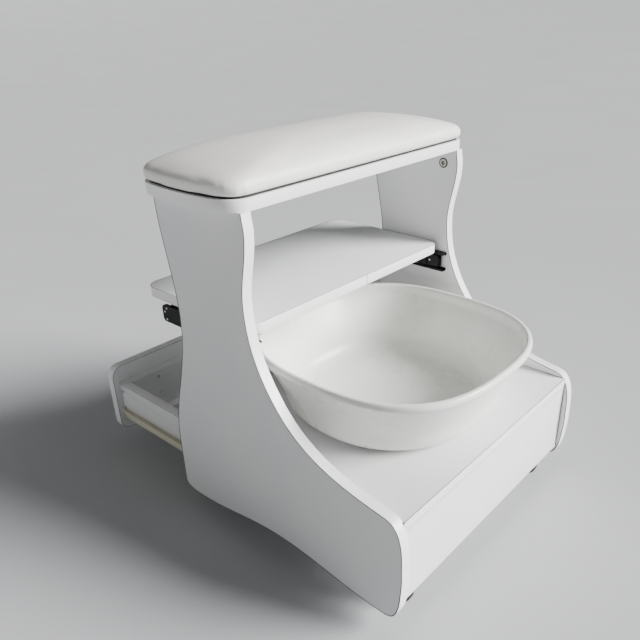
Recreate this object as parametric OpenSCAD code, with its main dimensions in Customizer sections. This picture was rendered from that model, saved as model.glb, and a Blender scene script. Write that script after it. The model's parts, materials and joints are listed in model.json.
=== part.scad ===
// Rolling pedicure station: a footrest cushion on two shaped side panels, a shelf on
// ball-bearing slides, a platform for a foot basin, a drawer on roller runners, four casters.
// Millimetres. +X to the right, +Y to the back, where the shelf and the drawer pull out, +Z up.
// The stored position has the drawer pulled out, the shelf pushed in and the basin in place.

/* [Carcass] */
// Clear width between the side panels
inner_w = 468; // [400:1:560]
// Thickness of every main board
board_t = 16; // [15:0.5:19]
// Height of the side panels
side_h = 520; // [480:1:600]
// Top of the platform above the floor
platform_h = 187; // [180:1:210]
// How far the base board's underside stands above the side panels' feet
foot_drop = 14; // [8:1:18]
// Height of the back panel above the platform
back_panel_h = 84; // [50:1:110]
// Thickness of the back panel
back_panel_t = 4; // [3:0.5:8]
// Distance of the back panel's front face from the back of the side panels' tops
back_panel_in = 14; // [10:0.5:20]
// Depth of the side panels' grooves that the back panel sits in
back_groove = 5; // [3:0.5:8]
// How far the front apron's lower edge stands above the base board's underside
apron_up = 7; // [2:1:12]

/* [Side panel outline] */
// Depth of the side panel at its top
top_depth = 181; // [165:1:200]
// How far the toe stands in front of the top
toe_reach = 254; // [235:1:290]
// How far the heel stands behind the top
heel_step = 28; // [25:1:45]
// How far the front edge swells out below the top
shoulder_out = 3; // [0:0.5:6]
// How far the front edge is drawn in at its waist
front_waist_in = 12; // [4:1:24]
// How far the back edge is drawn in at its waist
back_waist_in = 22; // [8:1:26]
// Height of the arch between the feet
arch_rise = 20; // [5:1:24]
// Radius of the toes' feet
foot_r = 28; // [15:1:34]
// How far the front edge stands above the platform where it levels out
lip_rise = 9; // [6:0.5:16]
// Thickness of the edge band
band_t = 1; // [0.5:0.1:2]

/* [Top board and cushion] */
// Half length of the top board and the cushion
top_half_len = 270; // [255:1:310]
// Depth of the top board and the cushion
top_d = 198; // [186:1:215]
// How far the ends are bowed out
end_bow = 12; // [4:1:20]
// Radius of the corners
top_corner_r = 32; // [20:1:45]
// Shadow gap under the cushion cover
cushion_gap = 1.5; // [1:0.5:5]
// Height of the cushion's side up to where the crown starts
cushion_side_h = 17; // [12:1:26]
// Height of the crown
cushion_crown_h = 32; // [15:1:45]
// Thickness of the cushion's base board
cushion_base_t = 9; // [6:1:12]
// How far the cushion's base board is set in from the cover
cushion_base_in = 5; // [3:0.5:9]

/* [Sliding shelf] */
// Top of the shelf above the floor
shelf_h = 380; // [360:1:420]
// Gap between the shelf and each side panel
shelf_side_gap = 4; // [2:0.5:8]
// Front edge of the shelf behind the top's front edge
shelf_front_y = 23; // [20:0.5:40]
// Depth of the shelf
shelf_d = 251; // [220:1:260]
// Corner radius of the shelf
shelf_corner_r = 24; // [10:1:35]
// How far the shelf pulls out
shelf_travel = 190; // [120:1:195]

/* [Ball-bearing slides] */
// Height of the slides
slide_h = 37; // [34:0.5:40]
// Length of the outer members
slide_len = 172; // [165:1:180]
// Length of the middle and inner members
member_len = 212; // [195:1:220]
// Front end of the outer members
slide_front_y = 10; // [8:1:20]
// Length of the notch in the outer members' front ends
slide_notch = 16; // [8:1:20]
// Corner radius of the middle and inner members' ends
member_nose_r = 8; // [2:0.5:9]
// Gap between the slides and the underside of the shelf
slide_gap = 1; // [0.5:0.1:3]
// Sheet thickness of the slides
slide_sheet = 1.2; // [1:0.1:1.3]
// Radius of the balls
ball_r = 1.6; // [1.5:0.05:1.65]
// Running clearance of the balls in their grooves
ball_gap = 0.05; // [0.03:0.01:0.08]
// Balls in each row
balls_per_row = 6; // [4:1:7]

/* [Drawer] */
// How far the drawer stands open in the stored position
drawer_open = 242; // [150:1:245]
// Gap between the drawer box and each side panel
runner_gap = 13; // [12.7:0.1:14]
// Depth of the drawer box
drawer_len = 400; // [380:1:405]
// Lower edge of the drawer's sides above the base board
drawer_lift = 7; // [6.5:0.5:9]
// Height of the drawer's sides
drawer_side_h = 73; // [65:1:80]
// Thickness of the drawer's bottom
drawer_bottom_t = 4; // [3:0.5:5]
// Height of the drawer's bottom above the lower edge of its sides
drawer_bottom_up = 7; // [6:0.5:12]
// Depth of the groove that the drawer's bottom sits in
drawer_groove = 6; // [4:0.5:8]
// Clear length of the front compartment
compartment_len = 98; // [80:1:140]
// Gap round the drawer's face panel
face_gap = 2; // [1.5:0.5:3]
// How far the face panel reaches below the base board's underside
face_grip = 7; // [2:0.5:8]
// Corner radius of the face panel
face_corner_r = 22; // [10:1:30]

/* [Roller runners] */
// Sheet thickness of the runners
runner_sheet = 1.2; // [1:0.1:1.3]
// Radius of the rollers
roller_r = 8.5; // [8:0.1:8.8]
// Width of the rollers
roller_w = 6; // [5:0.5:6.5]
// Running clearance of the rollers
roller_gap = 0.05; // [0.03:0.01:0.08]
// Height of the channel's top flange above the roller
channel_gap = 0.1; // [0.08:0.01:0.3]

/* [Joinery] */
// Diameter of the cam locks
cam_d = 15; // [12:1:16]
// Depth of the cam locks' seats
cam_depth = 12.5; // [11:0.5:13]
// Distance of a cam's centre from the joint
cam_back = 24; // [20:1:30]
// Diameter of the cam bolts' shanks
bolt_d = 7; // [5:0.5:7]
// Diameter of the cam bolts' threads
bolt_thread_d = 5; // [4:0.5:6]
// Length of the cam bolts' threads
bolt_thread_len = 11; // [9:0.5:12]
// Diameter of the wooden dowels
dowel_d = 8; // [6:0.5:8]
// Length of a dowel on each side of its joint
dowel_half_len = 11; // [9:0.5:12]
// Clearance of a fitting in its hole
hole_gap = 0.05; // [0.02:0.01:0.1]
// Diameter of the wood screws' shanks
screw_d = 3.5; // [3:0.1:4]

/* [Casters] */
// Height of a caster from the floor to the base board
caster_h = 40; // [38:1:46]
// Radius of the wheels
wheel_r = 16; // [14:0.5:16.5]
// Width of the wheels
wheel_w = 14; // [10:0.5:16]
// Distance of a wheel's axle behind its swivel axis
caster_trail = 12; // [8:0.5:14]
// Distance of the swivel axes from the side panels
caster_inset_x = 42; // [38:1:60]
// Distance of the front swivel axes from the apron
caster_front_y = 26; // [24:1:40]
// Distance of the rear swivel axes from the base board's rear edge
caster_rear_y = 40; // [30:1:60]
// Radius of the wheels' axles
axle_r = 3; // [2:0.5:4]

/* [Basin] */
// Half width of the basin over its rim
basin_half_w = 200.5; // [190:0.5:220]
// Half depth of the basin over its rim
basin_half_d = 202; // [180:1:210]
// Height of the basin
basin_h = 117; // [90:1:130]
// Wall thickness of the basin
basin_t = 2.8; // [2:0.1:4]
// Half width of the basin's flat foot
basin_foot_half_w = 137.5; // [110:0.5:150]
// Radius of the round between the basin's foot and its wall
basin_round_r = 36.5; // [20:0.5:45]
// How far the rim stands out from the top of the wall
basin_rim_out = 7.3; // [4:0.1:12]
// Gap between the basin's rim and the back panel
basin_back_gap = 11; // [1:0.5:16]
// Gap between the basin's foot and the platform
basin_rest_gap = 0.3; // [0.2:0.05:0.5]

/* [Hidden] */
$fn = 48;
eps = 0.01;
curve_steps = 9;
half_w = inner_w / 2;
outer_half_w = half_w + board_t;

// Heights above the floor
base_z = caster_h;
base_top_z = base_z + board_t;
panel_z = base_z - foot_drop;
top_z = panel_z + side_h;
platform_under_z = platform_h - board_t;
drawer_z = base_top_z + drawer_lift;
shelf_under_z = shelf_h - board_t;
slide_z = shelf_under_z - slide_gap - slide_h / 2;

// Places along Y, from the front edge of the side panels' tops
heel_y = top_depth + heel_step;
apron_y = -toe_reach + 10;
apron_back_y = apron_y + board_t;
face_y = heel_y - board_t;
base_back_y = face_y - face_gap;
platform_back_y = heel_y - 12;
back_panel_y = top_depth - back_panel_in;
rest_mid_y = (heel_y + drawer_open - toe_reach) / 2;

// Side panel outline: anchors as [point, direction], joined by smooth curves
curve_pull = 0.36;
UP = [0, 1];
DOWN = [0, -1];
BACK = [1, 0];
knee_dir = [-0.62, -0.785];
lip_dir = [-0.99, -0.14];
toe_dir = [0.09, -0.996];
shoulder_z = top_z - 25;
front_waist_z = top_z - 125;
back_waist_z = top_z - 183;
lip_z = platform_h + lip_rise;
knee_z = lip_z + 83;
knee_y = -40;
lip_y = -toe_reach + 29;
toe_swell = 0.5;
toe_y = -toe_reach + toe_swell;
toe_z = lip_z - 70;
toe_low_z = panel_z + 65;
heel_z = panel_z + 95;
heel_foot_d = 38;
heel_foot_h = 16;
side_anchors = [
    [[0, top_z], DOWN],
    [[-shoulder_out, shoulder_z], DOWN],
    [[front_waist_in, front_waist_z], DOWN],
    [[knee_y, knee_z], knee_dir],
    [[lip_y, lip_z], lip_dir],
    [[toe_y, toe_z], DOWN],
    [[toe_y, toe_low_z], toe_dir],
    [[-toe_reach + foot_r, panel_z], BACK],
    [[(heel_y - toe_reach) / 2, panel_z + arch_rise], BACK],
    [[heel_y - heel_foot_d, panel_z], BACK],
    [[heel_y, panel_z + heel_foot_h], UP],
    [[heel_y, heel_z], UP],
    [[top_depth - back_waist_in, back_waist_z], UP],
    [[top_depth, top_z], UP]
];

function bezier(a, b, c, d, steps) =
    [for (i = [0:steps - 1]) let (t = i / steps, s = 1 - t)
        s * s * s * a + 3 * s * s * t * b + 3 * s * t * t * c + t * t * t * d];

function span(from, to) =
    let (pull = curve_pull * norm(to[0] - from[0]))
    bezier(from[0], from[0] + from[1] * pull, to[0] - to[1] * pull, to[0], curve_steps);

function unit(v) = v / norm(v);

side_path = concat(
    [for (i = [0:len(side_anchors) - 2]) each span(side_anchors[i], side_anchors[i + 1])],
    [side_anchors[len(side_anchors) - 1][0]]
);

// The same path moved inwards by the edge band, its two ends level with the top
function inward(path, i) =
    let (last = len(path) - 1,
        before = path[max(i - 1, 0)],
        after = path[min(i + 1, last)],
        along = unit(after - before),
        moved = path[i] + band_t * [-along[1], along[0]])
    i == 0 || i == last ? [moved[0], top_z] : moved;

band_path = [for (i = [0:len(side_path) - 1]) inward(side_path, i)];

// Plan outline of the top board and the cushion, drawn in by a margin, one corner at a time
function top_corner(margin) =
    let (l = top_half_len - margin,
        h = top_d / 2 - margin,
        r = top_corner_r - margin,
        slope = 2 * end_bow * (h - r) / (h * h),
        end_x = l - end_bow * pow((h - r) / h, 2),
        along = unit([slope, 1]))
    concat(
        [[0, -h], [(end_x - r) / 2, -h]],
        bezier([end_x - r, -h], [end_x - r * 0.45, -h],
            [end_x, r - h] - along * r * 0.55, [end_x, r - h], 7),
        [for (i = [0:5]) let (y = (r - h) * (1 - i / 6)) [l - end_bow * pow(y / h, 2), y]]
    );

function flip(points, sx, sy) =
    [for (i = [0:len(points) - 1]) let (p = points[sx * sy > 0 ? i : len(points) - 1 - i])
        [p[0] * sx, p[1] * sy]];

function top_outline(margin) =
    let (q = top_corner(margin),
        no_mid = [for (i = [1:len(q) - 1]) q[i]])
    concat(q, [[top_half_len - margin, 0]], flip(no_mid, 1, -1), [[0, top_d / 2 - margin]],
        flip(no_mid, -1, -1), [[margin - top_half_len, 0]], flip(no_mid, -1, 1));

// Joint sites: [point on the joint face, direction of the bolt, direction the cam opens]
cam_inset = 26;
platform_cam_in = 48;
apron_cam_up = 58;
base_cam_front = 80;
base_cam_rear = 90;
dowel_step = 30;
function both_sides(sites) = concat(sites, [for (s = sites)
    [[-s[0][0], s[0][1], s[0][2]], [-s[1][0], s[1][1], s[1][2]], [-s[2][0], s[2][1], s[2][2]]]]);
side_mid_x = half_w + board_t / 2;
top_sites = both_sides([for (y = [cam_inset, top_depth - cam_inset])
    [[side_mid_x, y, top_z], [0, 0, -1], [-1, 0, 0]]]);
platform_sites = both_sides([for (y = [apron_back_y + platform_cam_in, back_panel_y - platform_cam_in])
    [[half_w, y, platform_h - board_t / 2], [-1, 0, 0], [0, 0, -1]]]);
apron_mid_y = apron_y + board_t / 2;
apron_cam_z = base_top_z + apron_cam_up;
apron_sites = both_sides([[[half_w, apron_mid_y, apron_cam_z], [-1, 0, 0], [0, 1, 0]]]);
base_sites = both_sides([for (y = [apron_back_y + base_cam_front, base_back_y - base_cam_rear])
    [[half_w, y, base_z + board_t / 2], [-1, 0, 0], [0, 0, -1]]]);
cam_sites = concat(top_sites, platform_sites, apron_sites, base_sites);

top_dowel_in = cam_inset + dowel_step;
top_dowels = both_sides([for (y = [top_dowel_in, top_depth - top_dowel_in])
    [[side_mid_x, y, top_z], [0, 0, -1], [-1, 0, 0]]]);
platform_dowel_in = platform_cam_in + dowel_step;
platform_dowels = both_sides([for (y = [apron_back_y + platform_dowel_in, back_panel_y - platform_dowel_in])
    [[half_w, y, platform_h - board_t / 2], [-1, 0, 0], [0, 0, -1]]]);
apron_dowels = both_sides([[[half_w, apron_mid_y, apron_cam_z + dowel_step], [-1, 0, 0], [0, 1, 0]]]);
base_dowel_ys = [apron_back_y + base_cam_front + dowel_step, base_back_y - base_cam_rear - dowel_step];
base_dowels = both_sides([for (y = base_dowel_ys)
    [[half_w, y, base_z + board_t / 2], [-1, 0, 0], [0, 0, -1]]]);
dowel_sites = concat(top_dowels, platform_dowels, apron_dowels, base_dowels);

// Ball slides: distances from the side panel's inner face
flange_t = slide_sheet + 0.3;
ball_seat = 0.4;
outer_in_h = slide_h / 2 - flange_t;
ball_z1 = outer_in_h - ball_r + ball_seat;
middle_out_h = ball_z1 - ball_r + ball_seat;
middle_in_h = middle_out_h - flange_t;
ball_z2 = middle_in_h - ball_r + ball_seat;
inner_out_h = ball_z2 - ball_r + ball_seat;
web_gap = 0.3;
cage_t = 0.6;
middle_x = slide_sheet + cage_t + 2 * web_gap;
slide_out_x = 10;
outer_reach_x = slide_out_x - 0.4;
middle_reach_x = slide_out_x - 2;
inner_x = slide_out_x - slide_sheet;
inner_reach_x = middle_x + slide_sheet + cage_t + 2 * web_gap;
ball_x1 = 5.6;
ball_x2 = 6.3;
outer_lip = 3.4;
prong_h = 6.5;
prong_slant = 3;
outer_round = 2.6;
web_round = 1.5;
flange_round = 0.6;
slide_step = 9;
member_front_y = slide_front_y + slide_step;
cage_len = slide_len - slide_step - shelf_travel / 2 - 1;
cage_y = member_front_y + shelf_travel / 4 + 0.5;
slide_screw_ys = [slide_front_y + 30, slide_front_y + 80, slide_front_y + 130];
bracket_t = 1.5;
bracket_foot = 26;
bracket_foot_x = half_w - slide_out_x - bracket_foot + 9;
bracket_step = 28;
bracket_y = member_front_y + bracket_step;
bracket_len = member_len - bracket_step - 14;
bracket_screw_ys = [bracket_y + 18, bracket_y + bracket_len / 2, bracket_y + bracket_len - 18];

// Roller runners: distances from the side panel's inner face, and heights
channel_z = drawer_z - 1.2;
channel_floor_z = channel_z + runner_sheet;
rear_roller_z = channel_floor_z + roller_gap + roller_r;
channel_roof_z = rear_roller_z + roller_r + channel_gap;
flange_z = channel_roof_z + runner_sheet + 0.55;
front_roller_z = flange_z - roller_gap - roller_r;
channel_w = runner_gap - 2;
drawer_web_x = runner_gap - runner_sheet;
roller_x = (runner_gap - roller_w) / 2 + 0.9;
roller_axle_r = 2.5;
drawer_y = face_y + drawer_open - drawer_len;
cabinet_runner_y = face_y - drawer_len - 2;
cabinet_runner_len = drawer_len;
front_roller_y = cabinet_runner_y + cabinet_runner_len - 12;
rear_roller_y = drawer_y + 12;
runner_screw_ys = [cabinet_runner_y + 45, cabinet_runner_y + 190, cabinet_runner_y + 340];
drawer_half_w = half_w - runner_gap;
drawer_in_w = drawer_half_w - board_t;
box_floor_z = drawer_z + drawer_bottom_up + drawer_bottom_t;
drawer_runner_screw_ys = [for (share = [0.15, 0.5, 0.85]) drawer_y + share * drawer_len];
drawer_runner_foot = 14;
drawer_runner_screw_x = drawer_half_w - drawer_runner_foot / 2;
divider_y = drawer_y + drawer_len - board_t - compartment_len - board_t;
face_z = base_z - face_grip;
face_h = platform_under_z - 1.5 - face_z;

// Casters
caster_x = half_w - caster_inset_x;
caster_front = apron_back_y + caster_front_y;
caster_rear = base_back_y - caster_rear_y;
plate_t = 1.5;
plate_w = 38;
plate_d = 32;
cup_h = 2.5;
crown_t = 1.6;
crown_z = caster_h - plate_t - cup_h - 0.3 - crown_t;
wheel_side_gap = 0.8;
fork_t = 1.5;
caster_screw_x = 14.5;
caster_screw_y = 11;

// Basin
basin_y = back_panel_y - basin_back_gap - basin_half_d;
basin_z = platform_h + basin_rest_gap;
basin_sides = 64;

// Brings the whole object's middle over the origin
module placed() {
    translate([0, -rest_mid_y, 0]) children();
}

// Draws its children on the right and mirrors them for the left
module on_side(side) {
    if (side < 0) mirror([1, 0, 0]) children();
    else children();
}

// A profile of [distance from the right panel's inner face, height], drawn along Y
module along_y(y, length) {
    translate([half_w, y + length, 0]) rotate([90, 0, 0]) linear_extrude(length)
        mirror([1, 0]) children();
}

// Rectangle between two corners
module rect(a, b) {
    translate(a) square([b[0] - a[0], b[1] - a[1]]);
}

module rounded_rect(w, d, r) {
    translate([-w / 2 + r, 0]) square([w - 2 * r, d]);
    translate([-w / 2, r]) square([w, d - 2 * r]);
    for (x = [-w / 2 + r, w / 2 - r], y = [r, d - r]) translate([x, y]) circle(r);
}

// A Y-Z outline given a thickness along X
module side_plate(points) {
    translate([half_w, 0, 0]) rotate([90, 0, 90]) linear_extrude(board_t) polygon(points);
}

// Cylinder from a point along an axis
module rod(point, direction, r, length) {
    turn = direction[0] != 0 ? [0, 90 * sign(direction[0]), 0]
        : direction[1] != 0 ? [-90 * sign(direction[1]), 0, 0]
        : direction[2] < 0 ? [180, 0, 0] : [0, 0, 0];
    translate(point) rotate(turn) cylinder(r = r, h = length);
}

// Cuts for one cam joint: seat, bolt bore and pilot hole
module cam_cuts(site) {
    p = site[0];
    bolt = site[1];
    open = site[2];
    surface = p + bolt * cam_back + open * (board_t / 2 + eps);
    rod(surface, -open, cam_d / 2 + hole_gap, cam_depth + 0.2 + eps);
    rod(p - bolt * (bolt_thread_len + 0.2), bolt, bolt_thread_d / 2 + hole_gap, bolt_thread_len + 0.3);
    rod(p, bolt, bolt_d / 2 + hole_gap, cam_back);
}

module dowel_cuts(site) {
    length = dowel_half_len + 0.3;
    rod(site[0] - site[1] * length, site[1], dowel_d / 2 + hole_gap, 2 * length);
}

module all_joint_cuts(cams, pegs) {
    for (s = cams) cam_cuts(s);
    for (s = pegs) dowel_cuts(s);
}

// Zinc cam: flanged disc with a cross recess and a mouth for the bolt's head
module cam_lock(site) {
    p = site[0];
    bolt = site[1];
    open = site[2];
    centre = p + bolt * cam_back;
    difference() {
        union() {
            rod(centre + open * board_t / 2, -open, cam_d / 2, cam_depth);
            rod(centre + open * board_t / 2, open, cam_d / 2 + 1.2, 0.5);
        }
        rod(centre - bolt * (cam_d / 2 + 1), bolt, bolt_d / 2 + 0.4, cam_d / 2 + 3);
        rod(centre + open * (board_t / 2 + 1), -open, 3.6, 2.6);
        rod(centre + open * (board_t / 2 + 1), -open, 1.6, 5);
    }
}

// Steel bolt: thread in one board, shank and collared head in the other
module cam_bolt(site) {
    p = site[0];
    bolt = site[1];
    rod(p - bolt * bolt_thread_len, bolt, bolt_thread_d / 2, bolt_thread_len + 1);
    rod(p, bolt, bolt_d / 2, 3);
    rod(p, bolt, bolt_d / 2 - 1.2, cam_back - 1);
    rod(p + bolt * (cam_back - 4), bolt, bolt_d / 2, 1.5);
    rod(p + bolt * (cam_back - 1.5), bolt, bolt_d / 2 - 0.4, 2.5);
}

module side_panel(side) {
    color("#e9eaea") placed() on_side(side) difference() {
        side_plate(band_path);
        all_joint_cuts(
            [for (s = cam_sites) if (s[0][0] > 0) s],
            [for (s = dowel_sites) if (s[0][0] > 0) s]);
        translate([half_w - eps, back_panel_y, platform_h])
            cube([back_groove + eps, back_panel_t, back_panel_h]);
        for (y = slide_screw_ys)
            rod([half_w - eps, y, slide_z], [1, 0, 0], screw_d / 2 + hole_gap, 11);
        for (y = runner_screw_ys)
            rod([half_w - eps, y, rear_roller_z], [1, 0, 0], screw_d / 2 + hole_gap, 11);
    }
}

module edge_band(side) {
    count = len(side_path);
    color("#fafafa") placed() on_side(side)
        side_plate(concat(side_path, [for (i = [1:count]) band_path[count - i]]));
}

module top_plan(margin, z, h) {
    translate([0, top_d / 2, z]) linear_extrude(h) polygon(top_outline(margin));
}

cushion_screw_x = top_half_len * 0.62;
cushion_screw_ys = [top_d * 0.28, top_d * 0.72];

module top_board() {
    color("#f2f2f2") placed() difference() {
        top_plan(0, top_z, board_t);
        all_joint_cuts(top_sites, top_dowels);
        for (x = [-1, 1] * cushion_screw_x, y = cushion_screw_ys)
            rod([x, y, top_z - eps], [0, 0, 1], screw_d / 2 + 0.3, board_t + 1);
    }
}

cushion_z = top_z + board_t;

module cushion_base() {
    color("#1c1c1e") placed() difference() {
        top_plan(cushion_base_in, cushion_z, cushion_base_t);
        for (x = [-1, 1] * cushion_screw_x, y = cushion_screw_ys)
            rod([x, y, cushion_z - eps], [0, 0, 1], screw_d / 2 + hole_gap, cushion_base_t + 1);
    }
}

module cushion_screws() {
    color("#b8b9bb") placed()
        for (x = [-1, 1] * cushion_screw_x, y = cushion_screw_ys) {
            rod([x, y, top_z], [0, 0, 1], screw_d / 2, board_t + cushion_base_t - 1);
            translate([x, y, top_z - 2.2]) cylinder(r1 = 2.4, r2 = 3.8, h = 2.2);
        }
}

// How far a point of the outline stands beyond a rounder oblong of the same length and depth
function bulge(p) =
    pow(pow(abs(p[0]) / top_half_len, 3) + pow(abs(p[1]) * 2 / top_d, 3), 1 / 3);

// One level of the cushion: the outline drawn in by a margin, shrunk and rounded to its middle
function cushion_ring(margin, share, z) =
    [for (p = top_outline(margin))
        let (f = share * (1 + (1 - share) * (1 / bulge(p) - 1)))
        [p[0] * f, p[1] * f + top_d / 2, z]];

cushion_bottom_z = cushion_z + cushion_gap;
crown_z0 = cushion_bottom_z + cushion_side_h;
crown_shares = [0.985, 0.955, 0.9, 0.82, 0.7, 0.52, 0.28];
cushion_rings = concat(
    [cushion_ring(1.5, 1, cushion_bottom_z),
        cushion_ring(0.7, 1, cushion_bottom_z + 2.5),
        cushion_ring(0, 1, cushion_bottom_z + cushion_side_h * 0.5),
        cushion_ring(1, 1, crown_z0)],
    [for (f = crown_shares) cushion_ring(1, f, crown_z0 + cushion_crown_h * (1 - pow(f, 3.2)))]
);

// Closes a stack of rings into one solid
module ring_stack(rings, low_z, high_z, mid) {
    n = len(rings[0]);
    last = len(rings) - 1;
    points = concat([for (r = rings) each r],
        [[mid[0], mid[1], low_z], [mid[0], mid[1], high_z]]);
    low = len(points) - 2;
    high = len(points) - 1;
    faces = concat(
        [for (k = [0:last - 1], i = [0:n - 1]) let (j = (i + 1) % n)
            [k * n + i, (k + 1) * n + i, k * n + j]],
        [for (k = [0:last - 1], i = [0:n - 1]) let (j = (i + 1) % n)
            [k * n + j, (k + 1) * n + i, (k + 1) * n + j]],
        [for (i = [0:n - 1]) let (j = (i + 1) % n) [low, i, j]],
        [for (i = [0:n - 1]) let (j = (i + 1) % n) [high, last * n + j, last * n + i]]
    );
    polyhedron(points, faces, convexity = 4);
}

module cushion_pad() {
    color("#f4f3ef") placed() difference() {
        ring_stack(cushion_rings, cushion_bottom_z, crown_z0 + cushion_crown_h, [0, top_d / 2]);
        top_plan(cushion_base_in - 0.3, cushion_z - 1, cushion_base_t + 1);
    }
}

module platform_board() {
    color("#dfe1e1") placed() difference() {
        translate([-half_w, apron_y, platform_under_z])
            cube([inner_w, platform_back_y - apron_y, board_t]);
        all_joint_cuts(platform_sites, platform_dowels);
    }
}

module front_apron() {
    bottom = base_z + apron_up;
    color("#f0f1f2") placed() difference() {
        translate([-half_w, apron_y, bottom])
            cube([inner_w, board_t, platform_under_z - bottom]);
        all_joint_cuts(apron_sites, apron_dowels);
    }
}

module back_panel() {
    w = inner_w + 2 * back_groove - 0.6;
    color("#e6e7e7") placed()
        translate([-w / 2, back_panel_y, platform_h]) cube([w, back_panel_t, back_panel_h]);
}

module base_board() {
    color("#e2e3e3") placed() difference() {
        translate([-half_w, apron_back_y, base_z])
            cube([inner_w, base_back_y - apron_back_y, board_t]);
        all_joint_cuts(base_sites, base_dowels);
        for (c = caster_places, x = [-1, 1] * caster_screw_x, y = [-1, 1] * caster_screw_y)
            rod([c[0] + x, c[1] + y, base_z - eps], [0, 0, 1], screw_d / 2 + hole_gap, 12);
    }
}

module cam_locks() {
    color("#a9abad") placed() for (s = cam_sites) cam_lock(s);
}

module cam_bolts() {
    color("#8f9194") placed() for (s = cam_sites) cam_bolt(s);
}

module dowels() {
    color("#d8bf94") placed() for (s = dowel_sites)
        rod(s[0] - s[1] * dowel_half_len, s[1], dowel_d / 2, 2 * dowel_half_len);
}

module sliding_shelf() {
    w = inner_w - 2 * shelf_side_gap;
    color("#e4e6e6") placed() difference() {
        translate([0, shelf_front_y, shelf_under_z]) linear_extrude(board_t)
            rounded_rect(w, shelf_d, shelf_corner_r);
        for (x = [-1, 1], y = bracket_screw_ys)
            rod([x * bracket_foot_x, y, shelf_under_z - eps], [0, 0, 1], screw_d / 2 + hole_gap, 12);
    }
}

// Grooves that the balls of one row run in
module grooves(x, z) {
    for (s = [-1, 1]) translate([x, s * z]) circle(ball_r + ball_gap);
}

module at_slide(side, y, length) {
    on_side(side) along_y(y, length) translate([0, slide_z]) children();
}

// Rolled section: a rectangle from x to x + w with its own radius at the web and at the lips
module rolled_section(x, w, h, web_r, lip_r) {
    rect([x, -h + web_r], [x + w, h - web_r]);
    rect([x + web_r, -h + lip_r], [x + w, h - lip_r]);
    rect([x + web_r, -h], [x + w - lip_r, h]);
    for (s = [-1, 1]) {
        translate([x + web_r, s * (h - web_r)]) circle(web_r);
        translate([x + w - lip_r, s * (h - lip_r)]) circle(lip_r);
    }
}

module slide_outer(side) {
    color("#161618") placed() difference() {
        at_slide(side, slide_front_y, slide_len) difference() {
            rolled_section(0, outer_reach_x, slide_h / 2, web_round, outer_round);
            rect([slide_sheet, -outer_in_h + outer_lip], [slide_out_x, outer_in_h - outer_lip]);
            rect([slide_sheet, -outer_in_h], [outer_reach_x - slide_sheet, outer_in_h]);
            grooves(ball_x1, ball_z1);
        }
        on_side(side) for (y = slide_screw_ys) {
            rod([half_w + eps, y, slide_z], [-1, 0, 0], screw_d / 2 + 0.05, 2);
            rod([half_w - 0.3, y, slide_z], [-1, 0, 0], 3.5, 2);
        }
        // Notch between the front ends of the two raceways
        on_side(side)
            translate([half_w - slide_out_x, slide_front_y - 1, slide_z - slide_h / 2 + prong_h])
                cube([slide_out_x + 1, slide_notch + 1, slide_h - 2 * prong_h]);
        // Slanted ends of the raceways
        on_side(side) for (z = [-1, 1] * (slide_h / 2)) {
            translate([half_w - outer_reach_x, slide_front_y, slide_z + z]) rotate([0, 0, 45])
                cube([2.4, 2.4, 5], center = true);
            translate([half_w - slide_out_x / 2, slide_front_y, slide_z + z]) rotate([45, 0, 0])
                cube([slide_out_x + 2, prong_slant, prong_slant], center = true);
        }
    }
}

// What is cut away to round the corners of a member's two ends
module end_rounds(side, reach) {
    r = member_nose_r;
    ends = [member_front_y + r, member_front_y + member_len - r];
    on_side(side) for (i = [0, 1], s = [-1, 1])
        translate([half_w - slide_out_x - 1, ends[i], slide_z + s * (reach - r)]) difference() {
            translate([0, i == 0 ? -r - 1 : 0, s < 0 ? -r - 1 : 0])
                cube([slide_out_x + 2, r + 1, r + 1]);
            rod([-1, 0, 0], [1, 0, 0], r, slide_out_x + 4);
        }
}

module slide_middle(side) {
    color("#1d1d20") placed() difference() {
        at_slide(side, member_front_y, member_len) difference() {
            rolled_section(middle_x, middle_reach_x - middle_x, middle_out_h, web_round, flange_round);
            rect([middle_x + slide_sheet, -middle_in_h], [slide_out_x, middle_in_h]);
            grooves(ball_x1, ball_z1);
            grooves(ball_x2, ball_z2);
        }
        end_rounds(side, middle_out_h);
    }
}

module slide_inner(side) {
    color("#202023") placed() difference() {
        at_slide(side, member_front_y, member_len) difference() {
            rect([inner_reach_x, -inner_out_h], [slide_out_x, inner_out_h]);
            rect([inner_reach_x - 1, -inner_out_h + slide_sheet],
                [inner_x, inner_out_h - slide_sheet]);
            grooves(ball_x2, ball_z2);
        }
        end_rounds(side, inner_out_h);
        on_side(side) for (y = bracket_screw_ys)
            rod([half_w - inner_x + 0.5, y, slide_z], [-1, 0, 0], screw_d / 2 + hole_gap, 3);
    }
}

// Ball positions along one row
ball_pitch = (cage_len - 14) / (balls_per_row - 1);
ball_ys = [for (i = [0:balls_per_row - 1]) cage_y + 7 + i * ball_pitch];

// Channel-shaped cage with a pocket for every ball, and its balls
module ball_cage(side, web_x, x, z) {
    lip = z + 0.4;
    color("#c9cacc") placed() {
        difference() {
            at_slide(side, cage_y, cage_len) difference() {
                rect([web_x, -lip], [x + 2.4, lip]);
                rect([web_x + cage_t, -lip + 0.8], [x + 3, lip - 0.8]);
            }
            on_side(side) for (y = ball_ys, s = [-1, 1])
                translate([half_w - x, y, slide_z + s * z]) cylinder(r = ball_r + 0.1, h = 4, center = true);
        }
        on_side(side) for (y = ball_ys, s = [-1, 1])
            translate([half_w - x, y, slide_z + s * z]) sphere(ball_r);
    }
}

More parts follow.
